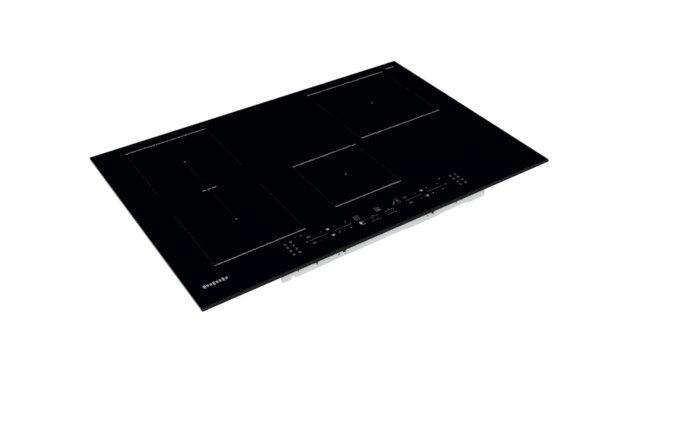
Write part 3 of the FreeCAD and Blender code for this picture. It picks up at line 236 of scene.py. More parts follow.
blackGlass = {
    "topColour": (0.00030, 0.00070, 0.00210, 1), "edgeColour": (0.0035, 0.0037, 0.0042, 1),
    "topRough": (0.025, 0.045), "edgeRough": 0.42, "bevelStart": 4.4 * mm, "waviness": 0.015,
}


def glassMaterial():
    # polished black top; the ground facet and face along the front edge are greyer and rougher, picked by y
    material, tree, shader, place = newMaterial("blackGlass")
    split = tree.nodes.new("ShaderNodeSeparateXYZ")
    tree.links.new(place, split.inputs["Vector"])
    start = frontEdge + blackGlass["bevelStart"]
    ground = rangeOf(tree, split.outputs["Y"], 1.0, 0.0, start - 0.2 * mm, start)
    tree.links.new(mixOf(tree, ground, blackGlass["topColour"], blackGlass["edgeColour"], "RGBA"),
                   shader.inputs["Base Color"])
    polish = rangeOf(tree, noiseOf(tree, place, 9, 5.0), *blackGlass["topRough"])
    tree.links.new(mixOf(tree, ground, polish, blackGlass["edgeRough"]), shader.inputs["Roughness"])
    bumpOf(tree, shader, noiseOf(tree, place, 25, 2.0), blackGlass["waviness"], 0.0002)
    return material


zincSteel = {"cellScale": 130, "shift": 0.004, "dark": (0.37, 0.385, 0.40), "light": (0.50, 0.51, 0.52),
             "rough": (0.30, 0.46)}


def zincMaterial():
    # galvanised sheet: each spangle has its own grey and its own roughness, over faint rolling streaks
    material, tree, shader, place = newMaterial("zincSteel")
    shader.inputs["Metallic"].default_value = 0.85
    cells = tree.nodes.new("ShaderNodeTexVoronoi")
    cells.inputs["Scale"].default_value = zincSteel["cellScale"]
    warp = noiseOf(tree, place, 220, 2.0)
    shifted = tree.nodes.new("ShaderNodeVectorMath")
    shifted.operation = "MULTIPLY_ADD"
    shifted.inputs[1].default_value = [zincSteel["shift"]] * 3
    tree.links.new(warp, shifted.inputs[0])
    tree.links.new(place, shifted.inputs[2])
    tree.links.new(shifted.outputs["Vector"], cells.inputs["Vector"])
    grey = tree.nodes.new("ShaderNodeRGBToBW")
    tree.links.new(cells.outputs["Color"], grey.inputs["Color"])
    streak = noiseOf(tree, place, 40, 3.0, (1, 14, 14))
    tone = mixOf(tree, streak, grey.outputs["Val"], 0.5)
    tree.links.new(rampOf(tree, tone, zincSteel["dark"], zincSteel["light"], 0.2, 0.8),
                   shader.inputs["Base Color"])
    tree.links.new(rangeOf(tree, grey.outputs["Val"], *zincSteel["rough"], 0.1, 0.9),
                   shader.inputs["Roughness"])
    bumpOf(tree, shader, noiseOf(tree, place, 700, 3.0), 0.08, 0.0002)
    return material


circuitBoard = {"mask": (0.010, 0.085, 0.038), "trace": (0.022, 0.155, 0.070), "tracePitch": 350}


def boardMaterial():
    # solder mask with lighter tracks: bands along x in some patches, along y in the others
    material, tree, shader, place = newMaterial("circuitBoard")
    waves = []
    for direction in ("X", "Y"):
        wave = tree.nodes.new("ShaderNodeTexWave")
        wave.bands_direction = direction
        wave.inputs["Scale"].default_value = circuitBoard["tracePitch"] / 10
        tree.links.new(place, wave.inputs["Vector"])
        waves.append(wave.outputs["Fac"])
    patch = tree.nodes.new("ShaderNodeTexChecker")
    patch.inputs["Scale"].default_value = 60
    tree.links.new(place, patch.inputs["Vector"])
    tracks = mixOf(tree, patch.outputs["Fac"], *waves)
    tree.links.new(rampOf(tree, tracks, circuitBoard["mask"], circuitBoard["trace"], 0.55, 0.65),
                   shader.inputs["Base Color"])
    tree.links.new(rangeOf(tree, noiseOf(tree, place, 90), 0.25, 0.4), shader.inputs["Roughness"])
    bumpOf(tree, shader, tracks, 0.2, 0.0001)
    return material


finishes = {
    "black_glass": glassMaterial(),
    "gasket_foam": finish("gasketFoam", (0.016, 0.016, 0.017), (0.030, 0.030, 0.032), (0.8, 0.95),
                          grain=(1800, 0.8, 0.0006), sheen=0.15),
    "silicone": finish("silicone", (0.20, 0.20, 0.20), (0.26, 0.26, 0.26), (0.35, 0.5),
                       grain=(600, 0.3, 0.0003)),
    "zinc_steel": zincMaterial(),
    "light_plastic": finish("lightPlastic", (0.58, 0.59, 0.585), (0.62, 0.63, 0.625), (0.42, 0.55),
                            grain=(1800, 0.12, 0.0001)),
    "dark_plastic": finish("darkPlastic", (0.030, 0.031, 0.034), (0.042, 0.043, 0.046), (0.38, 0.52),
                           grain=(1500, 0.25, 0.0002)),
    "black_plastic": finish("blackPlastic", (0.018, 0.018, 0.020), (0.028, 0.028, 0.030), (0.40, 0.55),
                            grain=(1500, 0.2, 0.0002)),
    "circuit_board": boardMaterial(),
    "spring_steel": finish("springSteel", (0.50, 0.51, 0.53), (0.60, 0.61, 0.63), (0.20, 0.34), 1.0,
                           (900, 0.1, 0.0001), (1, 12, 1)),
    "screw_steel": finish("screwSteel", (0.52, 0.53, 0.53), (0.66, 0.66, 0.64), (0.25, 0.4), 1.0),
    "cable_sheath": finish("cableSheath", (0.62, 0.59, 0.52), (0.76, 0.73, 0.66), (0.65, 0.8),
                           grain=(2500, 0.6, 0.0003)),
    "felt": finish("felt", (0.74, 0.72, 0.66), (0.86, 0.85, 0.80), (0.9, 1.0), grain=(900, 0.8, 0.0008),
                   sheen=0.2),
    "ceramic": finish("ceramic", (0.74, 0.72, 0.67), (0.82, 0.80, 0.75), (0.5, 0.65),
                      grain=(700, 0.3, 0.0002)),
    "aluminium": finish("aluminium", (0.68, 0.69, 0.70), (0.78, 0.79, 0.80), (0.28, 0.42), 1.0,
                        (700, 0.1, 0.0001), (10, 1, 1)),
    "copper": finish("copper", (0.55, 0.20, 0.08), (0.72, 0.32, 0.15), (0.25, 0.4), 1.0, (1200, 0.4, 0.0003)),
    "ferrite": finish("ferrite", (0.030, 0.030, 0.033), (0.05, 0.05, 0.055), (0.45, 0.6),
                      grain=(1200, 0.3, 0.0003)),
    "mica": finish("mica", (0.46, 0.39, 0.28), (0.62, 0.55, 0.43), (0.35, 0.6), grain=(300, 0.2, 0.0002)),
    "capacitor_sleeve": finish("capacitorSleeve", (0.02, 0.025, 0.08), (0.03, 0.04, 0.12), (0.25, 0.35)),
}
inkTones = {"bright": 0.60, "light": 0.50, "pale": 0.38, "soft": 0.25, "mid": 0.18, "dim": 0.11, "dark": 0.08,
            "display": 0.058, "faint": 0.045, "ghost": 0.028}
# painted shade: a near-black matt finish with little reflection, for the strip that darkens the plate's front
# face
edgeShadeStrip = finish("edgeShadeStrip", (0.0008, 0.0008, 0.0009), (0.0014, 0.0014, 0.0015), (0.7, 0.85),
                    grain=(1500, 0.2, 0.0001), specular=0.06)
inks = {name: finish(f"{name}Ink", [tone * 0.86] * 3, [tone] * 3, (0.35, 0.5), grain=(3000, 0.1, 0.00002))
        for name, tone in inkTones.items()}


def paintFrame():
    slots = {part["node"]: part["material_slot"] for part in frame["record"]["subparts"]}
    for name, item in frame["nodes"].items():
        item.data.materials.clear()
        item.data.materials.append(finishes[slots[name]])


# ---- shapes
def gridShape(points, loopAlong=False, loopAround=True, capped=True):
    # each row of points is joined to the next row by four-sided faces; rows may close on themselves, and the
    # first and last row get a flat cap where the shape doesn't loop
    rows, columns = points.shape[:2]
    row, column = np.meshgrid(np.arange(rows if loopAlong else rows - 1),
                              np.arange(columns if loopAround else columns - 1), indexing="ij")
    nextRow, nextColumn = (row + 1) % rows, (column + 1) % columns
    faces = np.stack([row * columns + column, nextRow * columns + column,
                      nextRow * columns + nextColumn, row * columns + nextColumn], -1).reshape(-1, 4).tolist()
    if capped and not loopAlong:
        faces += [list(range(columns)), list(range((rows - 1) * columns, rows * columns))]
    return points.reshape(-1, 3), faces


def addPiece(name, shapes, material, body="hob", replaces=(), smoothBelow=35.0):
    points, faces, start = [], [], 0
    for shapePoints, shapeFaces in shapes:
        points.append(shapePoints)
        faces += [[corner + start for corner in face] for face in shapeFaces]
        start += len(shapePoints)
    mesh = bpy.data.meshes.new(name)
    mesh.from_pydata(np.vstack(points), [], faces)
    shell = bmesh.new()
    shell.from_mesh(mesh)
    bmesh.ops.recalc_face_normals(shell, faces=shell.faces)
    shell.to_mesh(mesh)
    shell.free()
    mesh.polygons.foreach_set("use_smooth", np.ones(len(mesh.polygons), bool))
    mesh.set_sharp_from_angle(angle=math.radians(smoothBelow))
    mesh.materials.append(material)
    item = bpy.data.objects.new(name, mesh)
    bpy.context.scene.collection.objects.link(item)
    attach(item, body)
    if replaces:
        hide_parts(*replaces)
    return item


def nodePoints(node):
    mesh = frame["nodes"][node].data
    points = np.empty(len(mesh.vertices) * 3)
    mesh.vertices.foreach_get("co", points)
    return points.reshape(-1, 3)


def solidBoxes(node):
    # the box of each separate solid in a node: the corners of a triangle share the lowest label among them,
    # until nothing changes
    mesh = frame["nodes"][node].data
    places, index = np.unique(nodePoints(node).round(6), axis=0, return_inverse=True)
    corners = np.empty(len(mesh.loops), int)
    mesh.loops.foreach_get("vertex_index", corners)
    triangles = index.reshape(-1)[corners].reshape(-1, 3)
    labels = np.arange(len(places))
    while True:
        fresh = labels.copy()
        np.minimum.at(fresh, triangles, labels[triangles].min(1)[:, None])
        fresh = fresh[fresh]
        if (fresh == labels).all():
            solids = [places[labels == label] for label in np.unique(labels)]
            return [(solid.min(0), solid.max(0)) for solid in solids]
        labels = fresh


def latheShape(centre, profile, steps=32, axis="z"):
    # a profile of (radius, height) pairs turned about an axis through the centre
    radius, height = np.asarray(profile, float).T
    angle = np.linspace(0, 2 * np.pi, steps, endpoint=False)
    across = radius[:, None] * np.cos(angle)
    along = radius[:, None] * np.sin(angle)
    rise = np.broadcast_to(height[:, None], across.shape)
    order = {"z": (across, along, rise), "x": (rise, across, along), "y": (across, rise, along)}[axis]
    return gridShape(np.stack(order, -1) + centre)


def tubeShape(path, radius, columns=8, loop=False, lobes=0, lobeDepth=0.0, lobePitch=1.0):
    # a round section carried along a path, square to it; with lobes, its radius swells and sinks round the
    # section and the pattern turns as it goes along, like the strands of a rope
    path = np.asarray(path, float)
    ahead, behind = np.roll(path, -1, 0), np.roll(path, 1, 0)
    if not loop:
        ahead[-1], behind[0] = path[-1], path[0]
    along = ahead - behind
    along /= np.linalg.norm(along, axis=1, keepdims=True)
    helper = np.where(np.abs(along[:, 2:3]) > 0.9, (1.0, 0.0, 0.0), (0.0, 0.0, 1.0))
    side = np.cross(along, helper)
    side /= np.linalg.norm(side, axis=1, keepdims=True)
    up = np.cross(side, along)
    angle = np.linspace(0, 2 * np.pi, columns, endpoint=False)
    run = np.concatenate([[0], np.cumsum(np.linalg.norm(np.diff(path, axis=0), axis=1))])
    swell = radius * (1 + lobeDepth * np.cos(lobes * angle[None, :] + 2 * np.pi * run[:, None] / lobePitch))
    points = (path[:, None] + side[:, None] * (swell * np.cos(angle))[..., None]
              + up[:, None] * (swell * np.sin(angle))[..., None])
    return gridShape(points, loopAlong=loop)


# ---- print on the glass: flat strips of ink, 0.07 mm thick and sunk 0.02 mm; places are in millimetres
inkBase = glassTop - 0.02 * mm
inkTop = glassTop + 0.05 * mm


def stroke(path, width, closed=False):
    # a flat ribbon: at each path point the section is a rectangle of the given width between the ink heights
    path = np.asarray(path, float) * mm
    ahead, behind = np.roll(path, -1, 0), np.roll(path, 1, 0)
    if not closed:
        ahead[-1], behind[0] = path[-1], path[0]
    along = ahead - behind
    along /= np.linalg.norm(along, axis=1, keepdims=True)
    side = np.stack([-along[:, 1], along[:, 0]], 1) * width * mm / 2
    points = np.zeros((len(path), 4, 3))
    points[:, (0, 3), :2] = (path + side)[:, None]
    points[:, (1, 2), :2] = (path - side)[:, None]
    points[:, :2, 2] = inkBase
    points[:, 2:, 2] = inkTop
    return gridShape(points, loopAlong=closed)


def bar(x, y, length, width):
    return stroke([(x - length / 2, y), (x + length / 2, y)], width)


def arc(x, y, radius, width, start=0.0, end=360.0, steps=24):
    # points at even angles on a circle, carried as a stroke
    closed = end - start >= 360
    angle = np.radians(np.linspace(start, end, steps, endpoint=not closed))
    return stroke(np.stack([x + radius * np.cos(angle), y + radius * np.sin(angle)], 1), width, closed)


def dot(x, y, radius, steps=16):
    # a disc: two rings of points on the same circle, at the two ink heights
    angle = np.linspace(0, 2 * np.pi, steps, endpoint=False)
    ring = np.stack([x + radius * np.cos(angle), y + radius * np.sin(angle)], 1) * mm
    points = np.stack([np.column_stack([ring, np.full(steps, height)]) for height in (inkBase, inkTop)])
    return gridShape(points)


def addInk(name, shapes, tone):
    return addPiece(name, shapes, inks[tone])


zonePrint = {
    "zones": {
        "leftZone": {"x": (-319.9, -140.1), "y": (-172.1, 225.7),
                     "centres": ((-230.2, 135.7), (-230.3, -80.9)), "gap": (-11.7, 65.0)},
        "middleZone": {"x": (-59.9, 91.5), "y": (-149.2, 3.5), "centres": ((15.3, -72.8),), "gap": None},
        "rightZone": {"x": (114.8, 325.3), "y": (15.1, 225.6), "centres": ((219.8, 120.4),), "gap": None},
    },
    "lineWidth": 0.75, "dotPitch": 3.2, "dotRadius": 0.42, "dotCorners": 6, "centreRadius": 2.1,
    "dotsFrom": 3, "dotsTo": 2, "linkFrom": 6, "linkTo": 4,
    "dash": {"y": 27.7, "spans": ((-244.2, -237.2), (-234.2, -226.9), (-223.9, -215.8)), "width": 1.9,
             "clear": 8},
}


def smallDot(x, y):
    return dot(x, y, zonePrint["dotRadius"], zonePrint["dotCorners"])


def addZonePrint():
    # two lines and two dotted sides round each zone, a disc on each centre, and in the left zone a dotted link
    # between its centres with a short dashed line across it
    width, pitch, dash = zonePrint["lineWidth"], zonePrint["dotPitch"], zonePrint["dash"]
    for name, zone in zonePrint["zones"].items():
        (left, right), (front, rear) = zone["x"], zone["y"]
        lines = [bar((left + right) / 2, y, right - left, width) for y in (front, rear)]
        addInk(f"{name}Lines", lines, "light")
        steps = np.arange(front + zonePrint["dotsFrom"], rear - zonePrint["dotsTo"], pitch)
        if zone["gap"]:
            steps = steps[(steps < zone["gap"][0]) | (steps > zone["gap"][1])]
        addInk(f"{name}SideDots", [smallDot(x, y) for x in (left, right) for y in steps], "faint")
        addInk(f"{name}Centres", [dot(x, y, zonePrint["centreRadius"]) for x, y in zone["centres"]], "dark")
    (x, top), (_, bottom) = zonePrint["zones"]["leftZone"]["centres"]
    steps = np.arange(bottom + zonePrint["linkFrom"], top - zonePrint["linkTo"], pitch)
    addInk("leftZoneLink", [smallDot(x, y) for y in steps if abs(y - dash["y"]) > dash["clear"]], "ghost")
    dashes = [bar((a + b) / 2, dash["y"], b - a, dash["width"]) for a, b in dash["spans"]]
    addInk("leftZoneDash", dashes, "soft")


controls = {
    "rows": (-189.7, -199.6, -210.1, -220.6),
    "left": {"columns": (-182.0, -193.8), "lone": -157.6, "spans": ((-151.6, -115.3), (-99.8, -63.7)),
             "scale": -147.6},
    "right": {"columns": (181.6, 193.4), "lone": 157.2, "spans": ((60.2, 97.0), (111.9, 147.3)),
              "scale": 65.3},
    "loneRows": (-184.8, -204.9), "sliderRow": -204.9, "sliderWidth": 0.7, "scaleRows": (-195.2, -214.1),
}
# the marks of one power scale, each by its distance along x from where the scale starts
scaleMarks = {
    "offRing": -2.2, "offBar": 1.9, "ticks": (12.7, 65.0), "boost": 39.3,
    "levels": (("3", 25, 2.6, "mid"), ("7", 53, 2.8, "pale"), ("9", 77.5, 3.0, "soft")),
}


def numeral(text, x, y, height):
    # a digit from the built-in font, made a thin solid and laid on the glass; a font's size is about 1.35
    # times the height of its digits
    curve = bpy.data.curves.new(text, "FONT")
    curve.body = text
    curve.size = height * mm * 1.35
    curve.align_x = curve.align_y = "CENTER"
    curve.extrude = (inkTop - inkBase) / 2
    curve.resolution_u = 3
    item = bpy.data.objects.new(text, curve)
    bpy.context.scene.collection.objects.link(item)
    bpy.context.view_layer.update()
    mesh = bpy.data.meshes.new_from_object(item)
    points = np.empty(len(mesh.vertices) * 3)
    mesh.vertices.foreach_get("co", points)
    faces = [list(face.vertices) for face in mesh.polygons]
    bpy.data.objects.remove(item)
    bpy.data.curves.remove(curve)
    bpy.data.meshes.remove(mesh)
    return points.reshape(-1, 3) + (x * mm, y * mm, (inkTop + inkBase) / 2), faces


def keySymbol(x, y, kind):
    # four small function marks in turn, each within 4 mm: a ringed dot, two bars, a chevron over a bar, and an
    # open ring with a bar
    if kind % 4 == 0:
        return [arc(x, y, 1.7, 0.7), dot(x, y, 0.6, 10)]
    if kind % 4 == 1:
        return [bar(x, y + 1.1, 4.0, 0.8), bar(x, y - 1.1, 4.0, 0.8)]
    if kind % 4 == 2:
        return [stroke([(x - 1.9, y - 1.2), (x, y + 1.3), (x + 1.9, y - 1.2)], 0.8), bar(x, y - 2.0, 3.0, 0.6)]
    return [arc(x, y, 1.8, 0.7, 40, 320, 14), bar(x + 0.2, y, 2.0, 0.8)]


def addScale(tag, start, y):
    # off, ticks, three levels and a dot with an open ring round it for boost
    offRing = arc(start + scaleMarks["offRing"], y, 1.3, 0.8, steps=14)
    addInk(f"{tag}Off", [offRing, bar(start + scaleMarks["offBar"], y, 4.0, 1.0)], "mid")
    addInk(f"{tag}Ticks", [dot(start + step, y, 0.5, 8) for step in scaleMarks["ticks"]], "faint")
    for digit, step, height, tone in scaleMarks["levels"]:
        addInk(f"{tag}Level{digit}", [numeral(digit, start + step, y, height)], tone)
    boost = start + scaleMarks["boost"]
    addInk(f"{tag}Boost", [dot(boost, y - 0.6, 1.6)], "bright")
    addInk(f"{tag}BoostRing", [arc(boost, y, 3.2, 0.8, -30, 210, 18)], "mid")


def addControls():
    # the same print at both sides: two columns of key symbols, two lone keys, two sliders and two power scales
    for side in ("left", "right"):
        places = controls[side]
        keys = []
        for column, x in enumerate(places["columns"]):
            for row, y in enumerate(controls["rows"]):
                keys += keySymbol(x, y, row + 2 * column)
        addInk(f"{side}Keypad", keys, "mid")
        lone = [arc(places["lone"], y, 1.2, 0.9, steps=14) for y in controls["loneRows"]]
        addInk(f"{side}LoneKeys", lone, "dim")
        addInk(f"{side}Sliders", [bar((a + b) / 2, controls["sliderRow"], b - a, controls["sliderWidth"])
                                  for a, b in places["spans"]], "dark")
        for row, y in enumerate(controls["scaleRows"]):
            addScale(f"{side}Row{row}", places["scale"], y)


middleControls = {
    "displays": ((-47, -197), (-0.1, -197)), "displaySide": 12.4, "cells": 3, "cellGap": 1.2,
    "lock": (-48.0, -213.3), "pans": (-18.1, 17.8), "panRow": -213.9, "tick": (36.7, -197),
    "menu": (47.3, -196.3),
}


def addMiddleControls():
    # two displays as grids of squares, a level, a lock, two pans, a tick and a menu sign
    cells = middleControls["cells"]
    pitch = middleControls["displaySide"] / cells
    cell = pitch - middleControls["cellGap"]
    centres = (np.arange(cells) - (cells - 1) / 2) * pitch
    for number, (x, y) in enumerate(middleControls["displays"]):
        addInk(f"displayGrid{number}", [bar(x + dx, y + dy, cell, cell) for dx in centres for dy in centres],
               "display")
    x, y = middleControls["displays"][1]
    addInk("displayLevel", [arc(x, y - 2.5, 2.1, 0.9), bar(x, y - 2.5, 2.0, 0.9)], "soft")
    x, y = middleControls["lock"]
    addInk("lockBody", [bar(x - 0.4, y, 3.6, 5.6)], "light")
    shackle = [arc(x + 3.0, y + 1.3, 2.4, 0.9, -60, 200, 14), bar(x + 2.6, y - 5.3, 8.0, 0.8)]
    addInk("lockShackle", shackle, "mid")
    for number, x in enumerate(middleControls["pans"]):
        y, span = middleControls["panRow"], np.linspace(-1.4, 1.4, 13)
        brow = np.stack([x + 7.5 * span, y + 2.4 + 1.9 * np.cos(span)], 1)
        addInk(f"panMark{number}", [dot(x, y + 6.5, 1.4), stroke(brow, 0.8), dot(x - 5.5, y - 1.3, 0.9),
                                    dot(x + 5.5, y - 1.3, 0.9), bar(x, y - 6.5, 20.0, 0.9)], "dark")
    x, y = middleControls["tick"]
    addInk("tickMark", [stroke([(x - 3.4, y - 3.1), (x, y - 3.7), (x + 3.4, y + 3.7)], 1.2)], "mid")
    x, y = middleControls["menu"]
    addInk("menuMark", [bar(x, y + shift, length, width) for shift, length, width in
                        ((5.6, 7.0, 0.8), (0.0, 6.6, 2.2), (-5.8, 8.4, 0.9))], "dim")


plainBars = {
    "front": {"start": -358.1, "y": -209.4, "pitch": 5.75, "count": 8, "width": 3.4, "tall": 7.0, "short": 4.6,
              "tone": "pale"},
    "rear": {"start": 342.7, "y": 231.9, "pitch": 4.95, "count": 5, "width": 3.0, "tall": 3.4, "short": 3.4,
             "tone": "soft"},
}


def addPlainBars():
    # rows of plain bars stand where names would be printed; the width of a bar is its length along x
    for name, row in plainBars.items():
        bars = [bar(row["start"] + row["pitch"] * number, row["y"], row["width"],
                    row["short"] if number % 3 else row["tall"]) for number in range(row["count"])]
        addInk(f"{name}Bars", bars, row["tone"])


# painted shade: size and place of the near-black strip that darkens the plate's front face
edgeShade = {"side": 382.5 * mm, "height": (0.05 * mm, 1.6 * mm), "thickness": 0.04 * mm, "sunk": 0.02 * mm,
          "wander": 0.03 * mm, "columns": 240}


def addEdgeShadeStrip():
    # painted shade: a thin near-black matt strip along the lower part of the plate's front face darkens it: a
    # flat section carried along x, whose upper edge wanders by a few hundredths
    x = np.linspace(-edgeShade["side"], edgeShade["side"], edgeShade["columns"])
    low, high = (glassLow.z + value for value in edgeShade["height"])
    upper = high + edgeShade["wander"] * np.sin(x * 260) * np.cos(x * 95)
    lower = np.full_like(x, low)
    inside, outside = frontEdge + edgeShade["sunk"], frontEdge - edgeShade["thickness"]
    section = ((outside, lower), (outside, upper), (inside, upper), (inside, lower))
    points = np.stack([np.stack([x, np.full_like(x, y), z], 1) for y, z in section], 1)
    addPiece("edgeShadeStrip", [gridShape(points)], edgeShadeStrip)


# ---- soft and wound parts, most of them in place of their plain solid
foamStrip = {"pore": 0.12 * mm, "step": 4.0 * mm, "columns": 20}


def addGasket():
    # a section with rounded corners carried round a rectangle, its surface pitted by two crossed waves like
    # the open cells of foam
    low, high = (np.array(corner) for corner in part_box("foam_gasket"))
    inner = np.abs(nodePoints("foam_gasket")[:, 0]).min()
    width = (high[0] - inner) / 2
    middle = high - (width, width, 0)
    corners = np.array([(1, 1), (-1, 1), (-1, -1), (1, -1), (1, 1)]) * middle[:2]
    lengths = np.linalg.norm(np.diff(corners, axis=0), axis=1)
    counts = (lengths / foamStrip["step"]).astype(int)
    path = np.vstack([start + (end - start) * np.linspace(0, 1, count, endpoint=False)[:, None]
                      for start, end, count in zip(corners, corners[1:], counts)])
    outward = path / middle[:2]
    outward = np.where(np.abs(outward) > 0.999, np.sign(outward), 0)
    angle = np.linspace(0, 2 * np.pi, foamStrip["columns"], endpoint=False)
    across = np.sign(np.cos(angle)) * np.abs(np.cos(angle)) ** 0.45
    rise = np.sign(np.sin(angle)) * np.abs(np.sin(angle)) ** 0.35
    run = np.arange(len(path))[:, None]
    pores = 1 - foamStrip["pore"] / width * (1 + np.sin(run * 2.4 + 5 * angle) * np.cos(run * 1.3))
    height = (high[2] - low[2]) / 2
    spread = across[None, :] * pores * width
    points = np.zeros((len(path), foamStrip["columns"], 3))
    points[..., :2] = path[:, None] + outward[:, None] * spread[..., None]
    points[..., 2] = (high[2] + low[2]) / 2 + rise * height
    addPiece("foamStrip", [gridShape(points, loopAlong=True)], finishes["gasket_foam"],
             replaces=["foam_gasket"], smoothBelow=60)


zoneNames = ("left_rear", "left_front", "middle_front", "right_rear")
litz = {"gap": 0.12 * mm, "stepLength": 3.2 * mm, "lobes": 5, "lobeDepth": 0.07, "lobePitch": 26 * mm,
        "columns": 15}


def ringSize(node, centre):
    reach = np.hypot(*(nodePoints(node)[:, :2] - centre[:2]).T)
    return reach.min(), reach.max()


def turned(centre, radius, angle, height):
    return np.stack([centre[0] + radius * np.cos(angle), centre[1] + radius * np.sin(angle), height], -1)


def addWindings():
    # a rope of fine wires wound flat: the path is a spiral whose radius grows by one rope for each turn
    for zone in zoneNames:
        low, high = (np.array(corner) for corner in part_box(f"{zone}_winding"))
        centre = (low + high) / 2
        inner, outer = ringSize(f"{zone}_winding", centre)
        thick = high[2] - low[2]
        turns = (outer - inner) / thick - 1
        count = int(np.pi * turns * (inner + outer) / litz["stepLength"])
        share = np.linspace(0, 1, count)
        start, end = inner + thick / 2, outer - thick / 2
        radius = np.sqrt(start ** 2 + share * (end ** 2 - start ** 2))  # even steps along the spiral
        angle = (radius - start) / (end - start) * turns * 2 * np.pi
        path = turned(centre, radius, angle, np.full(count, centre[2]))
        rope = tubeShape(path, (thick - litz["gap"]) / 2 / (1 + litz["lobeDepth"]), litz["columns"],
                         lobes=litz["lobes"], lobeDepth=litz["lobeDepth"], lobePitch=litz["lobePitch"])
        addPiece(f"litzWinding_{zone}", [rope], finishes["copper"], replaces=[f"{zone}_winding"],
                 smoothBelow=80)


feltDiscs = {"rows": 24, "columns": 120, "inset": 0.1 * mm, "wave": 0.10 * mm}


def addFelts():
    # a needled felt disc: a soft-cornered section turned round the zone's middle, its faces gently uneven
    shapes = []
    for low, high in solidBoxes("insulation_felts"):
        centre = (low + high) / 2
        inner, outer = ringSize("insulation_felts", centre)[0], (high[0] - low[0]) / 2
        turn = np.linspace(0, 2 * np.pi, feltDiscs["columns"], endpoint=False)[:, None]
        angle = np.linspace(0, 2 * np.pi, feltDiscs["rows"], endpoint=False)[None, :]
        across = np.sign(np.cos(angle)) * np.abs(np.cos(angle)) ** 0.2
        rise = np.sign(np.sin(angle)) * np.abs(np.sin(angle)) ** 0.4
        radius = (inner + outer) / 2 + across * ((outer - inner) / 2 - feltDiscs["inset"]) + 0 * turn
        uneven = feltDiscs["wave"] * (1 + np.sin(9 * turn + 40 * radius) * np.cos(5 * turn))
        height = centre[2] + rise * ((high[2] - low[2]) / 2 - uneven)
        shapes.append(gridShape(turned(centre, radius, turn, height), loopAlong=True))
    addPiece("feltDiscs", shapes, finishes["felt"], replaces=["insulation_felts"], smoothBelow=60)


def addPads():
    # silicone buffers, squeezed a little so that their sides bulge
    shapes = []
    for low, high in solidBoxes("coil_pads"):
        centre, radius, half = (low + high) / 2, (high[0] - low[0]) / 2, (high[2] - low[2]) / 2
        share = np.linspace(-1, 1, 9)
        profile = np.stack([radius * (0.86 + 0.14 * np.sqrt(1 - share ** 2)), half * share], 1)
        shapes.append(latheShape(centre, profile, 24))
    addPiece("siliconeBuffers", shapes, finishes["silicone"], replaces=["coil_pads"])


def addCapacitors():
    # a sleeved can: rounded shoulder, a crimped groove above the foot and a dished top, as shares of its
    # radius and height
    profile = np.array([(0.92, 0.0), (1.0, 0.04), (1.0, 0.14), (0.90, 0.18), (0.90, 0.20), (1.0, 0.25),
                        (1.0, 0.93), (0.96, 0.99), (0.90, 1.0), (0.84, 0.985), (0.80, 0.95), (0.10, 0.95)])
    shapes = []
    for low, high in solidBoxes("capacitors"):
        radius, height = (high[0] - low[0]) / 2, high[2] - low[2]
        foot = np.array([(low[0] + high[0]) / 2, (low[1] + high[1]) / 2, low[2]])
        shapes.append(latheShape(foot, profile * (radius, height), 36))
    addPiece("capacitorCans", shapes, finishes["capacitor_sleeve"],
             replaces=["capacitors"])


chokeWire = {"turns": 26, "ridge": 0.10}


def addChokes():
    # a ring core under one layer of wire: a rounded section turned about the core's axis, its surface
    # swelling once for each turn of wire
    shapes = []
    for low, high in solidBoxes("chokes"):
        centre, outer, half = (low + high) / 2, (high[0] - low[0]) / 2, (high[2] - low[2]) / 2
        inner = ringSize("chokes", centre)[0]
        turn = np.linspace(0, 2 * np.pi, chokeWire["turns"] * 6, endpoint=False)[:, None]
        angle = np.linspace(0, 2 * np.pi, 20, endpoint=False)[None, :]
        swell = 1 - chokeWire["ridge"] + chokeWire["ridge"] * np.abs(np.sin(chokeWire["turns"] / 2 * turn))
        across = np.sign(np.cos(angle)) * np.abs(np.cos(angle)) ** 0.6 * (outer - inner) / 2
        rise = np.sign(np.sin(angle)) * np.abs(np.sin(angle)) ** 0.6 * half
        radius = (inner + outer) / 2 + across * swell
        shapes.append(gridShape(turned(centre, radius, turn, centre[2] + rise * swell), loopAlong=True))
    addPiece("woundChokes", shapes, finishes["copper"], replaces=["chokes"])


keySpring = {"wire": 0.28 * mm, "turns": 5, "steps": 15}


def addKeySprings():
    # one coil spring under each key: a helix of thin wire from the board up to the glass, closed at both ends
    shapes = []
    for low, high in solidBoxes("touch_springs"):
        centre, radius = (low + high) / 2, (high[0] - low[0]) / 2 - keySpring["wire"]
        share = np.linspace(0, 1, keySpring["turns"] * keySpring["steps"])
        angle = share * keySpring["turns"] * 2 * np.pi
        rise = np.clip((share - 0.15) / 0.7, 0, 1)
        bottom, top = low[2] + keySpring["wire"], high[2] - keySpring["wire"]
        path = turned(centre, radius, angle, bottom + (top - bottom) * rise)
        shapes.append(tubeShape(path, keySpring["wire"], 6))
    addPiece("keySprings", shapes, finishes["spring_steel"], replaces=["touch_springs"])


ribbon = {"cores": 16, "valley": 0.45, "bend": 1.6 * mm, "perCore": 6}


def roundedPath(corners, radius, steps=8):
    # each inner corner of a square-cornered path becomes a quarter circle, within the shorter run's half
    corners = np.asarray(corners, float)
    path = [corners[:1]]
    quarter = np.linspace(0, np.pi / 2, steps)[:, None]
    for before, corner, after in zip(corners, corners[1:], corners[2:]):
        runs = np.linalg.norm([corner - before, after - corner], axis=1)
        ahead, away = (corner - before) / runs[0], (after - corner) / runs[1]
        reach = min(radius, 0.45 * runs.min())
        centre = corner + (away - ahead) * reach
        path.append(centre + reach * (ahead * np.sin(quarter) - away * np.cos(quarter)))
    return np.vstack(path + [corners[-1:]])


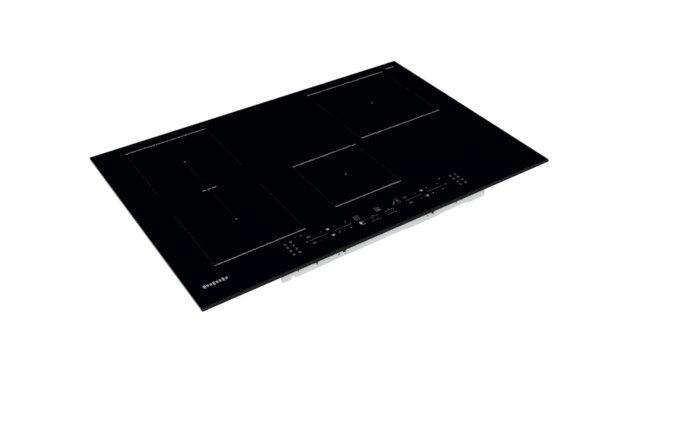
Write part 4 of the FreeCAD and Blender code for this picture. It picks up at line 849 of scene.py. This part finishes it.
def addRibbon():
    # a flat cable of round cores side by side: a section scalloped once for each core, carried along the
    # middle line of the plain strip, square to it; y and z are the strip's own levels, from low to high
    points = nodePoints("ribbon_cable").round(6)
    y, z = np.unique(points[:, 1]), np.unique(points[:, 2])
    across, half = np.ptp(points[:, 0]), (z[4] - z[3]) / 2
    fall, foot = (y[1] + y[2]) / 2, (y[3] + y[4]) / 2
    upper, lower = z[4] - half, z[2] - half
    corners = [(y[0], upper), (fall, upper), (fall, lower), (foot, lower), (foot, z[0])]
    path = roundedPath(corners, ribbon["bend"])
    along = np.gradient(path, axis=0)
    along /= np.linalg.norm(along, axis=1, keepdims=True)
    normal = np.stack([-along[:, 1], along[:, 0]], 1)
    share = np.linspace(0, 1, ribbon["cores"] * ribbon["perCore"] + 1)
    core = np.abs(np.sin(np.pi * ribbon["cores"] * share))
    ridge = half * (ribbon["valley"] + (1 - ribbon["valley"]) * core)
    section = np.vstack([np.stack([share, ridge], 1), np.stack([share, -ridge], 1)[::-1]])
    shape = np.zeros((len(path), len(section), 3))
    shape[..., 0] = points[:, 0].min() + section[:, 0] * across
    shape[..., 1:] = path[:, None] + normal[:, None] * section[None, :, 1:]
    addPiece("ribbonCable", [gridShape(shape)], finishes["cable_sheath"],
             replaces=["ribbon_cable"], smoothBelow=60)


# painted shade: dark strips behind the front wall, so that its notches and slots read as dark openings
notchBackShade = {"cheeks": 7, "cheekInset": 19 * mm, "wall": 2 * mm, "behind": 3.7 * mm, "thickness": 1.1 * mm,
               "height": (25.2 * mm, 35.9 * mm), "pore": 0.08 * mm, "step": 1.5 * mm}


def addNotchBackShade():
    # painted shade: dark strips with the foam finish stand behind the notches of the front wall so that the
    # openings read dark, one between each
    # two cheeks of the skirt: a section with rounded corners carried along x, its surface pitted by two
    # crossed waves
    low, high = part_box("front_housing")
    half, front, thickness = high.x, low.y, notchBackShade["thickness"]
    pitch = (2 * half - notchBackShade["cheekInset"]) / (notchBackShade["cheeks"] - 1)
    place = notchBackShade["cheekInset"] - half + np.arange(notchBackShade["cheeks"]) * pitch
    angle = np.linspace(0, 2 * np.pi, 24, endpoint=False)
    across = np.sign(np.cos(angle)) * np.abs(np.cos(angle)) ** 0.4
    rise = np.sign(np.sin(angle)) * np.abs(np.sin(angle)) ** 0.12
    bottom, top = notchBackShade["height"]
    shapes = []
    for start, end in zip(place, place[1:] - notchBackShade["wall"]):
        x = np.arange(start, end, notchBackShade["step"])[:, None]
        pits = 1 - notchBackShade["pore"] / thickness * (1 + np.sin(x * 2100 + 4 * angle) * np.cos(x * 800))
        y = front + notchBackShade["behind"] + thickness / 2 * (1 + across * pits)
        z = (bottom + top) / 2 + (top - bottom) / 2 * rise + 0 * x
        shapes.append(gridShape(np.stack([x + 0 * y, y, z], -1)))
    addPiece("notchBackShade", shapes, finishes["gasket_foam"], smoothBelow=60)


# painted shade: outlines and depths of the dark wedges that make two notches read as dark openings
notchShadeWedges = {
    "notches": (((-202.0, 36.0), (-197.0, 30.0), (-195.0, 36.0)),
                ((-163.5, 36.0), (-158.5, 26.6), (-156.5, 36.0))),
    "layers": ((0.97, 1.46), (0.97, 0.95), (0.90, 0.70)), "perSide": 12,
}


def addNotchShadeWedges():
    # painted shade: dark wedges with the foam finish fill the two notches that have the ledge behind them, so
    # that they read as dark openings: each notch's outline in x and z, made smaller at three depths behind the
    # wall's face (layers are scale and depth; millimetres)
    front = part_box("front_housing")[0].y
    shapes = []
    for corners in notchShadeWedges["notches"]:
        corners = np.array(corners)
        share = np.linspace(0, 1, notchShadeWedges["perSide"], endpoint=False)[:, None]
        outline = np.vstack([a + share * (b - a) for a, b in zip(corners, np.roll(corners, -1, 0))])
        middle = corners.mean(0)
        layers = []
        for scale, depth in notchShadeWedges["layers"]:
            flat = (middle + (outline - middle) * scale) * mm
            layers.append(np.stack([flat[:, 0], np.full(len(flat), front + depth * mm), flat[:, 1]], 1))
        shapes.append(gridShape(np.stack(layers)))
    addPiece("notchShadeWedges", shapes, finishes["gasket_foam"])


wireEntries = {
    "count": 6, "steps": 28, "below": 1.5 * mm,
    "collar": ((2.0, -0.1), (2.2, 0.25), (2.7, 0.35), (3.1, 0.2), (3.2, -0.1)),
    # painted shade: the dark disc that stands for the inside of each wire hole
    "holeShade": ((2.1, -0.1), (2.1, 0.16), (1.0, 0.12), (0.2, 0.12)),
}


def addWireEntries():
    # a raised metal collar round each wire entry of the terminal block, with a dark rounded disc in it as
    # painted shade for the
    # hole: two profiles of radius and height in millimetres, turned about an axis square to the block's rear
    # face
    low, high = (np.array(corner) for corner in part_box("terminal_block"))
    pitch = (high[0] - low[0]) / wireEntries["count"]
    height = (low[2] + high[2]) / 2 - wireEntries["below"]
    places = low[0] + pitch * (np.arange(wireEntries["count"]) + 0.5)
    for name, part, slot in (("wireCollars", "collar", "screw_steel"), ("wireHoleShade", "holeShade", "black_plastic")):
        profile = np.array(wireEntries[part]) * mm
        shapes = [latheShape(np.array([x, high[1], height]), profile, wireEntries["steps"], "y")
                  for x in places]
        addPiece(name, shapes, finishes[slot])


lidRibs = {"count": 13, "width": 2.2 * mm, "height": 0.7 * mm, "inset": 8 * mm, "top": 8 * mm,
           "bottom": 4 * mm, "rows": 13, "columns": 14}


def addLidRibs():
    # moulded grip ribs on the outside of the mains lid: half rounds, swelling from nothing at each end
    low, high = (np.array(corner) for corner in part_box("terminal_lid"))
    x = np.linspace(low[0] + lidRibs["inset"], high[0] - lidRibs["inset"], lidRibs["count"])
    share = np.linspace(0, 1, lidRibs["rows"])[:, None]
    angle = np.linspace(0, 2 * np.pi, lidRibs["columns"], endpoint=False)[None, :]
    size = np.sqrt(np.clip(1 - (2 * share - 1) ** 6, 0.02, 1))
    run = high[2] - low[2] - lidRibs["top"] - lidRibs["bottom"]
    z = low[2] + lidRibs["bottom"] + share * run + 0 * angle
    shapes = []
    for middle in x:
        shapes.append(gridShape(np.stack([middle + lidRibs["width"] / 2 * size * np.cos(angle),
                                          high[1] + lidRibs["height"] * size * np.sin(angle), z], -1)))
    addPiece("lidRibs", shapes, finishes["dark_plastic"], body="mains_lid")


# ---- fixings
screwHead = {"rows": 16, "columns": 48, "dome": 0.30, "slotWidth": 0.24, "slotReach": 0.55, "slotDepth": 0.55}


def crossHead(centre, radius, height, axis, sign=1.0, single=False):
    # a domed head with a cross cut into it, or a single slot from rim to rim: rings of points from the middle
    # out, sunk where an arm passes, then down the rim to the seat; sizes are shares of radius and height
    share = np.concatenate([np.linspace(0.04, 0.97, screwHead["rows"]), [1.0, 1.0]])[:, None]
    angle = np.linspace(0, 2 * np.pi, screwHead["columns"], endpoint=False)[None, :]
    across, along = share * np.cos(angle), share * np.sin(angle)
    rise = height * (1 - screwHead["dome"] * share ** 2)
    arms = [(across, along)] if single else [(across, along), (along, across)]
    width, reach = screwHead["slotWidth"] / 2, 1.2 if single else screwHead["slotReach"]
    within = [(np.clip((width - np.abs(a)) / 0.05 + 0.5, 0, 1),
               np.clip((reach - np.abs(b)) / 0.08 + 0.5, 0, 1)) for a, b in arms]
    sunk = np.max([side * end for side, end in within], axis=0)
    rise = rise - sunk * screwHead["slotDepth"] * height
    rise[-2] = height * (1 - screwHead["dome"]) * 0.9
    rise[-1] = 0
    rise, across, along = rise * sign, across * radius, along * radius
    order = {"x": (rise, across, along), "y": (across, rise, along), "z": (across, along, rise)}[axis]
    return gridShape(np.stack(order, -1) + centre)


def addScrews():
    # side screws lie along the thin way of their box, seated on its inner face; terminal screws stand upright
    shapes = {"pan_screws": [], "clip_screws": [], "terminal_screws": []}
    for node in ("pan_screws", "clip_screws"):
        for low, high in solidBoxes(node):
            centre, size = (low + high) / 2, high - low
            axis = int(np.argmin(size))
            sign = np.sign(centre[axis])
            seat = centre.copy()
            seat[axis] -= sign * size[axis] / 2
            shapes[node].append(crossHead(seat, size[2] / 2, size[axis], "xyz"[axis], sign))
    for low, high in solidBoxes("terminal_screws"):
        seat = np.array([(low[0] + high[0]) / 2, (low[1] + high[1]) / 2, low[2]])
        head = crossHead(seat, (high[0] - low[0]) / 2, high[2] - low[2], "z", single=True)
        shapes["terminal_screws"].append(head)
    names = {"pan_screws": "panScrews", "clip_screws": "clipScrews", "terminal_screws": "terminalScrews"}
    for node, heads in shapes.items():
        addPiece(names[node], heads, finishes["screw_steel"], replaces=[node])


bpy.context.scene.view_settings.view_transform = "Standard"
addCamera()
addFloor()
addSky()
addLamps()
print("studio ready")
paintFrame()
print("frame painted")
addZonePrint()
addControls()
addMiddleControls()
addPlainBars()
addEdgeShadeStrip()
print("print on the glass done")
addGasket()
addFelts()
addPads()
addWindings()
addCapacitors()
addChokes()
addKeySprings()
addRibbon()
addNotchBackShade()
addNotchShadeWedges()
addWireEntries()
addLidRibs()
print("soft and wound parts done")
addScrews()
print("fixings done")
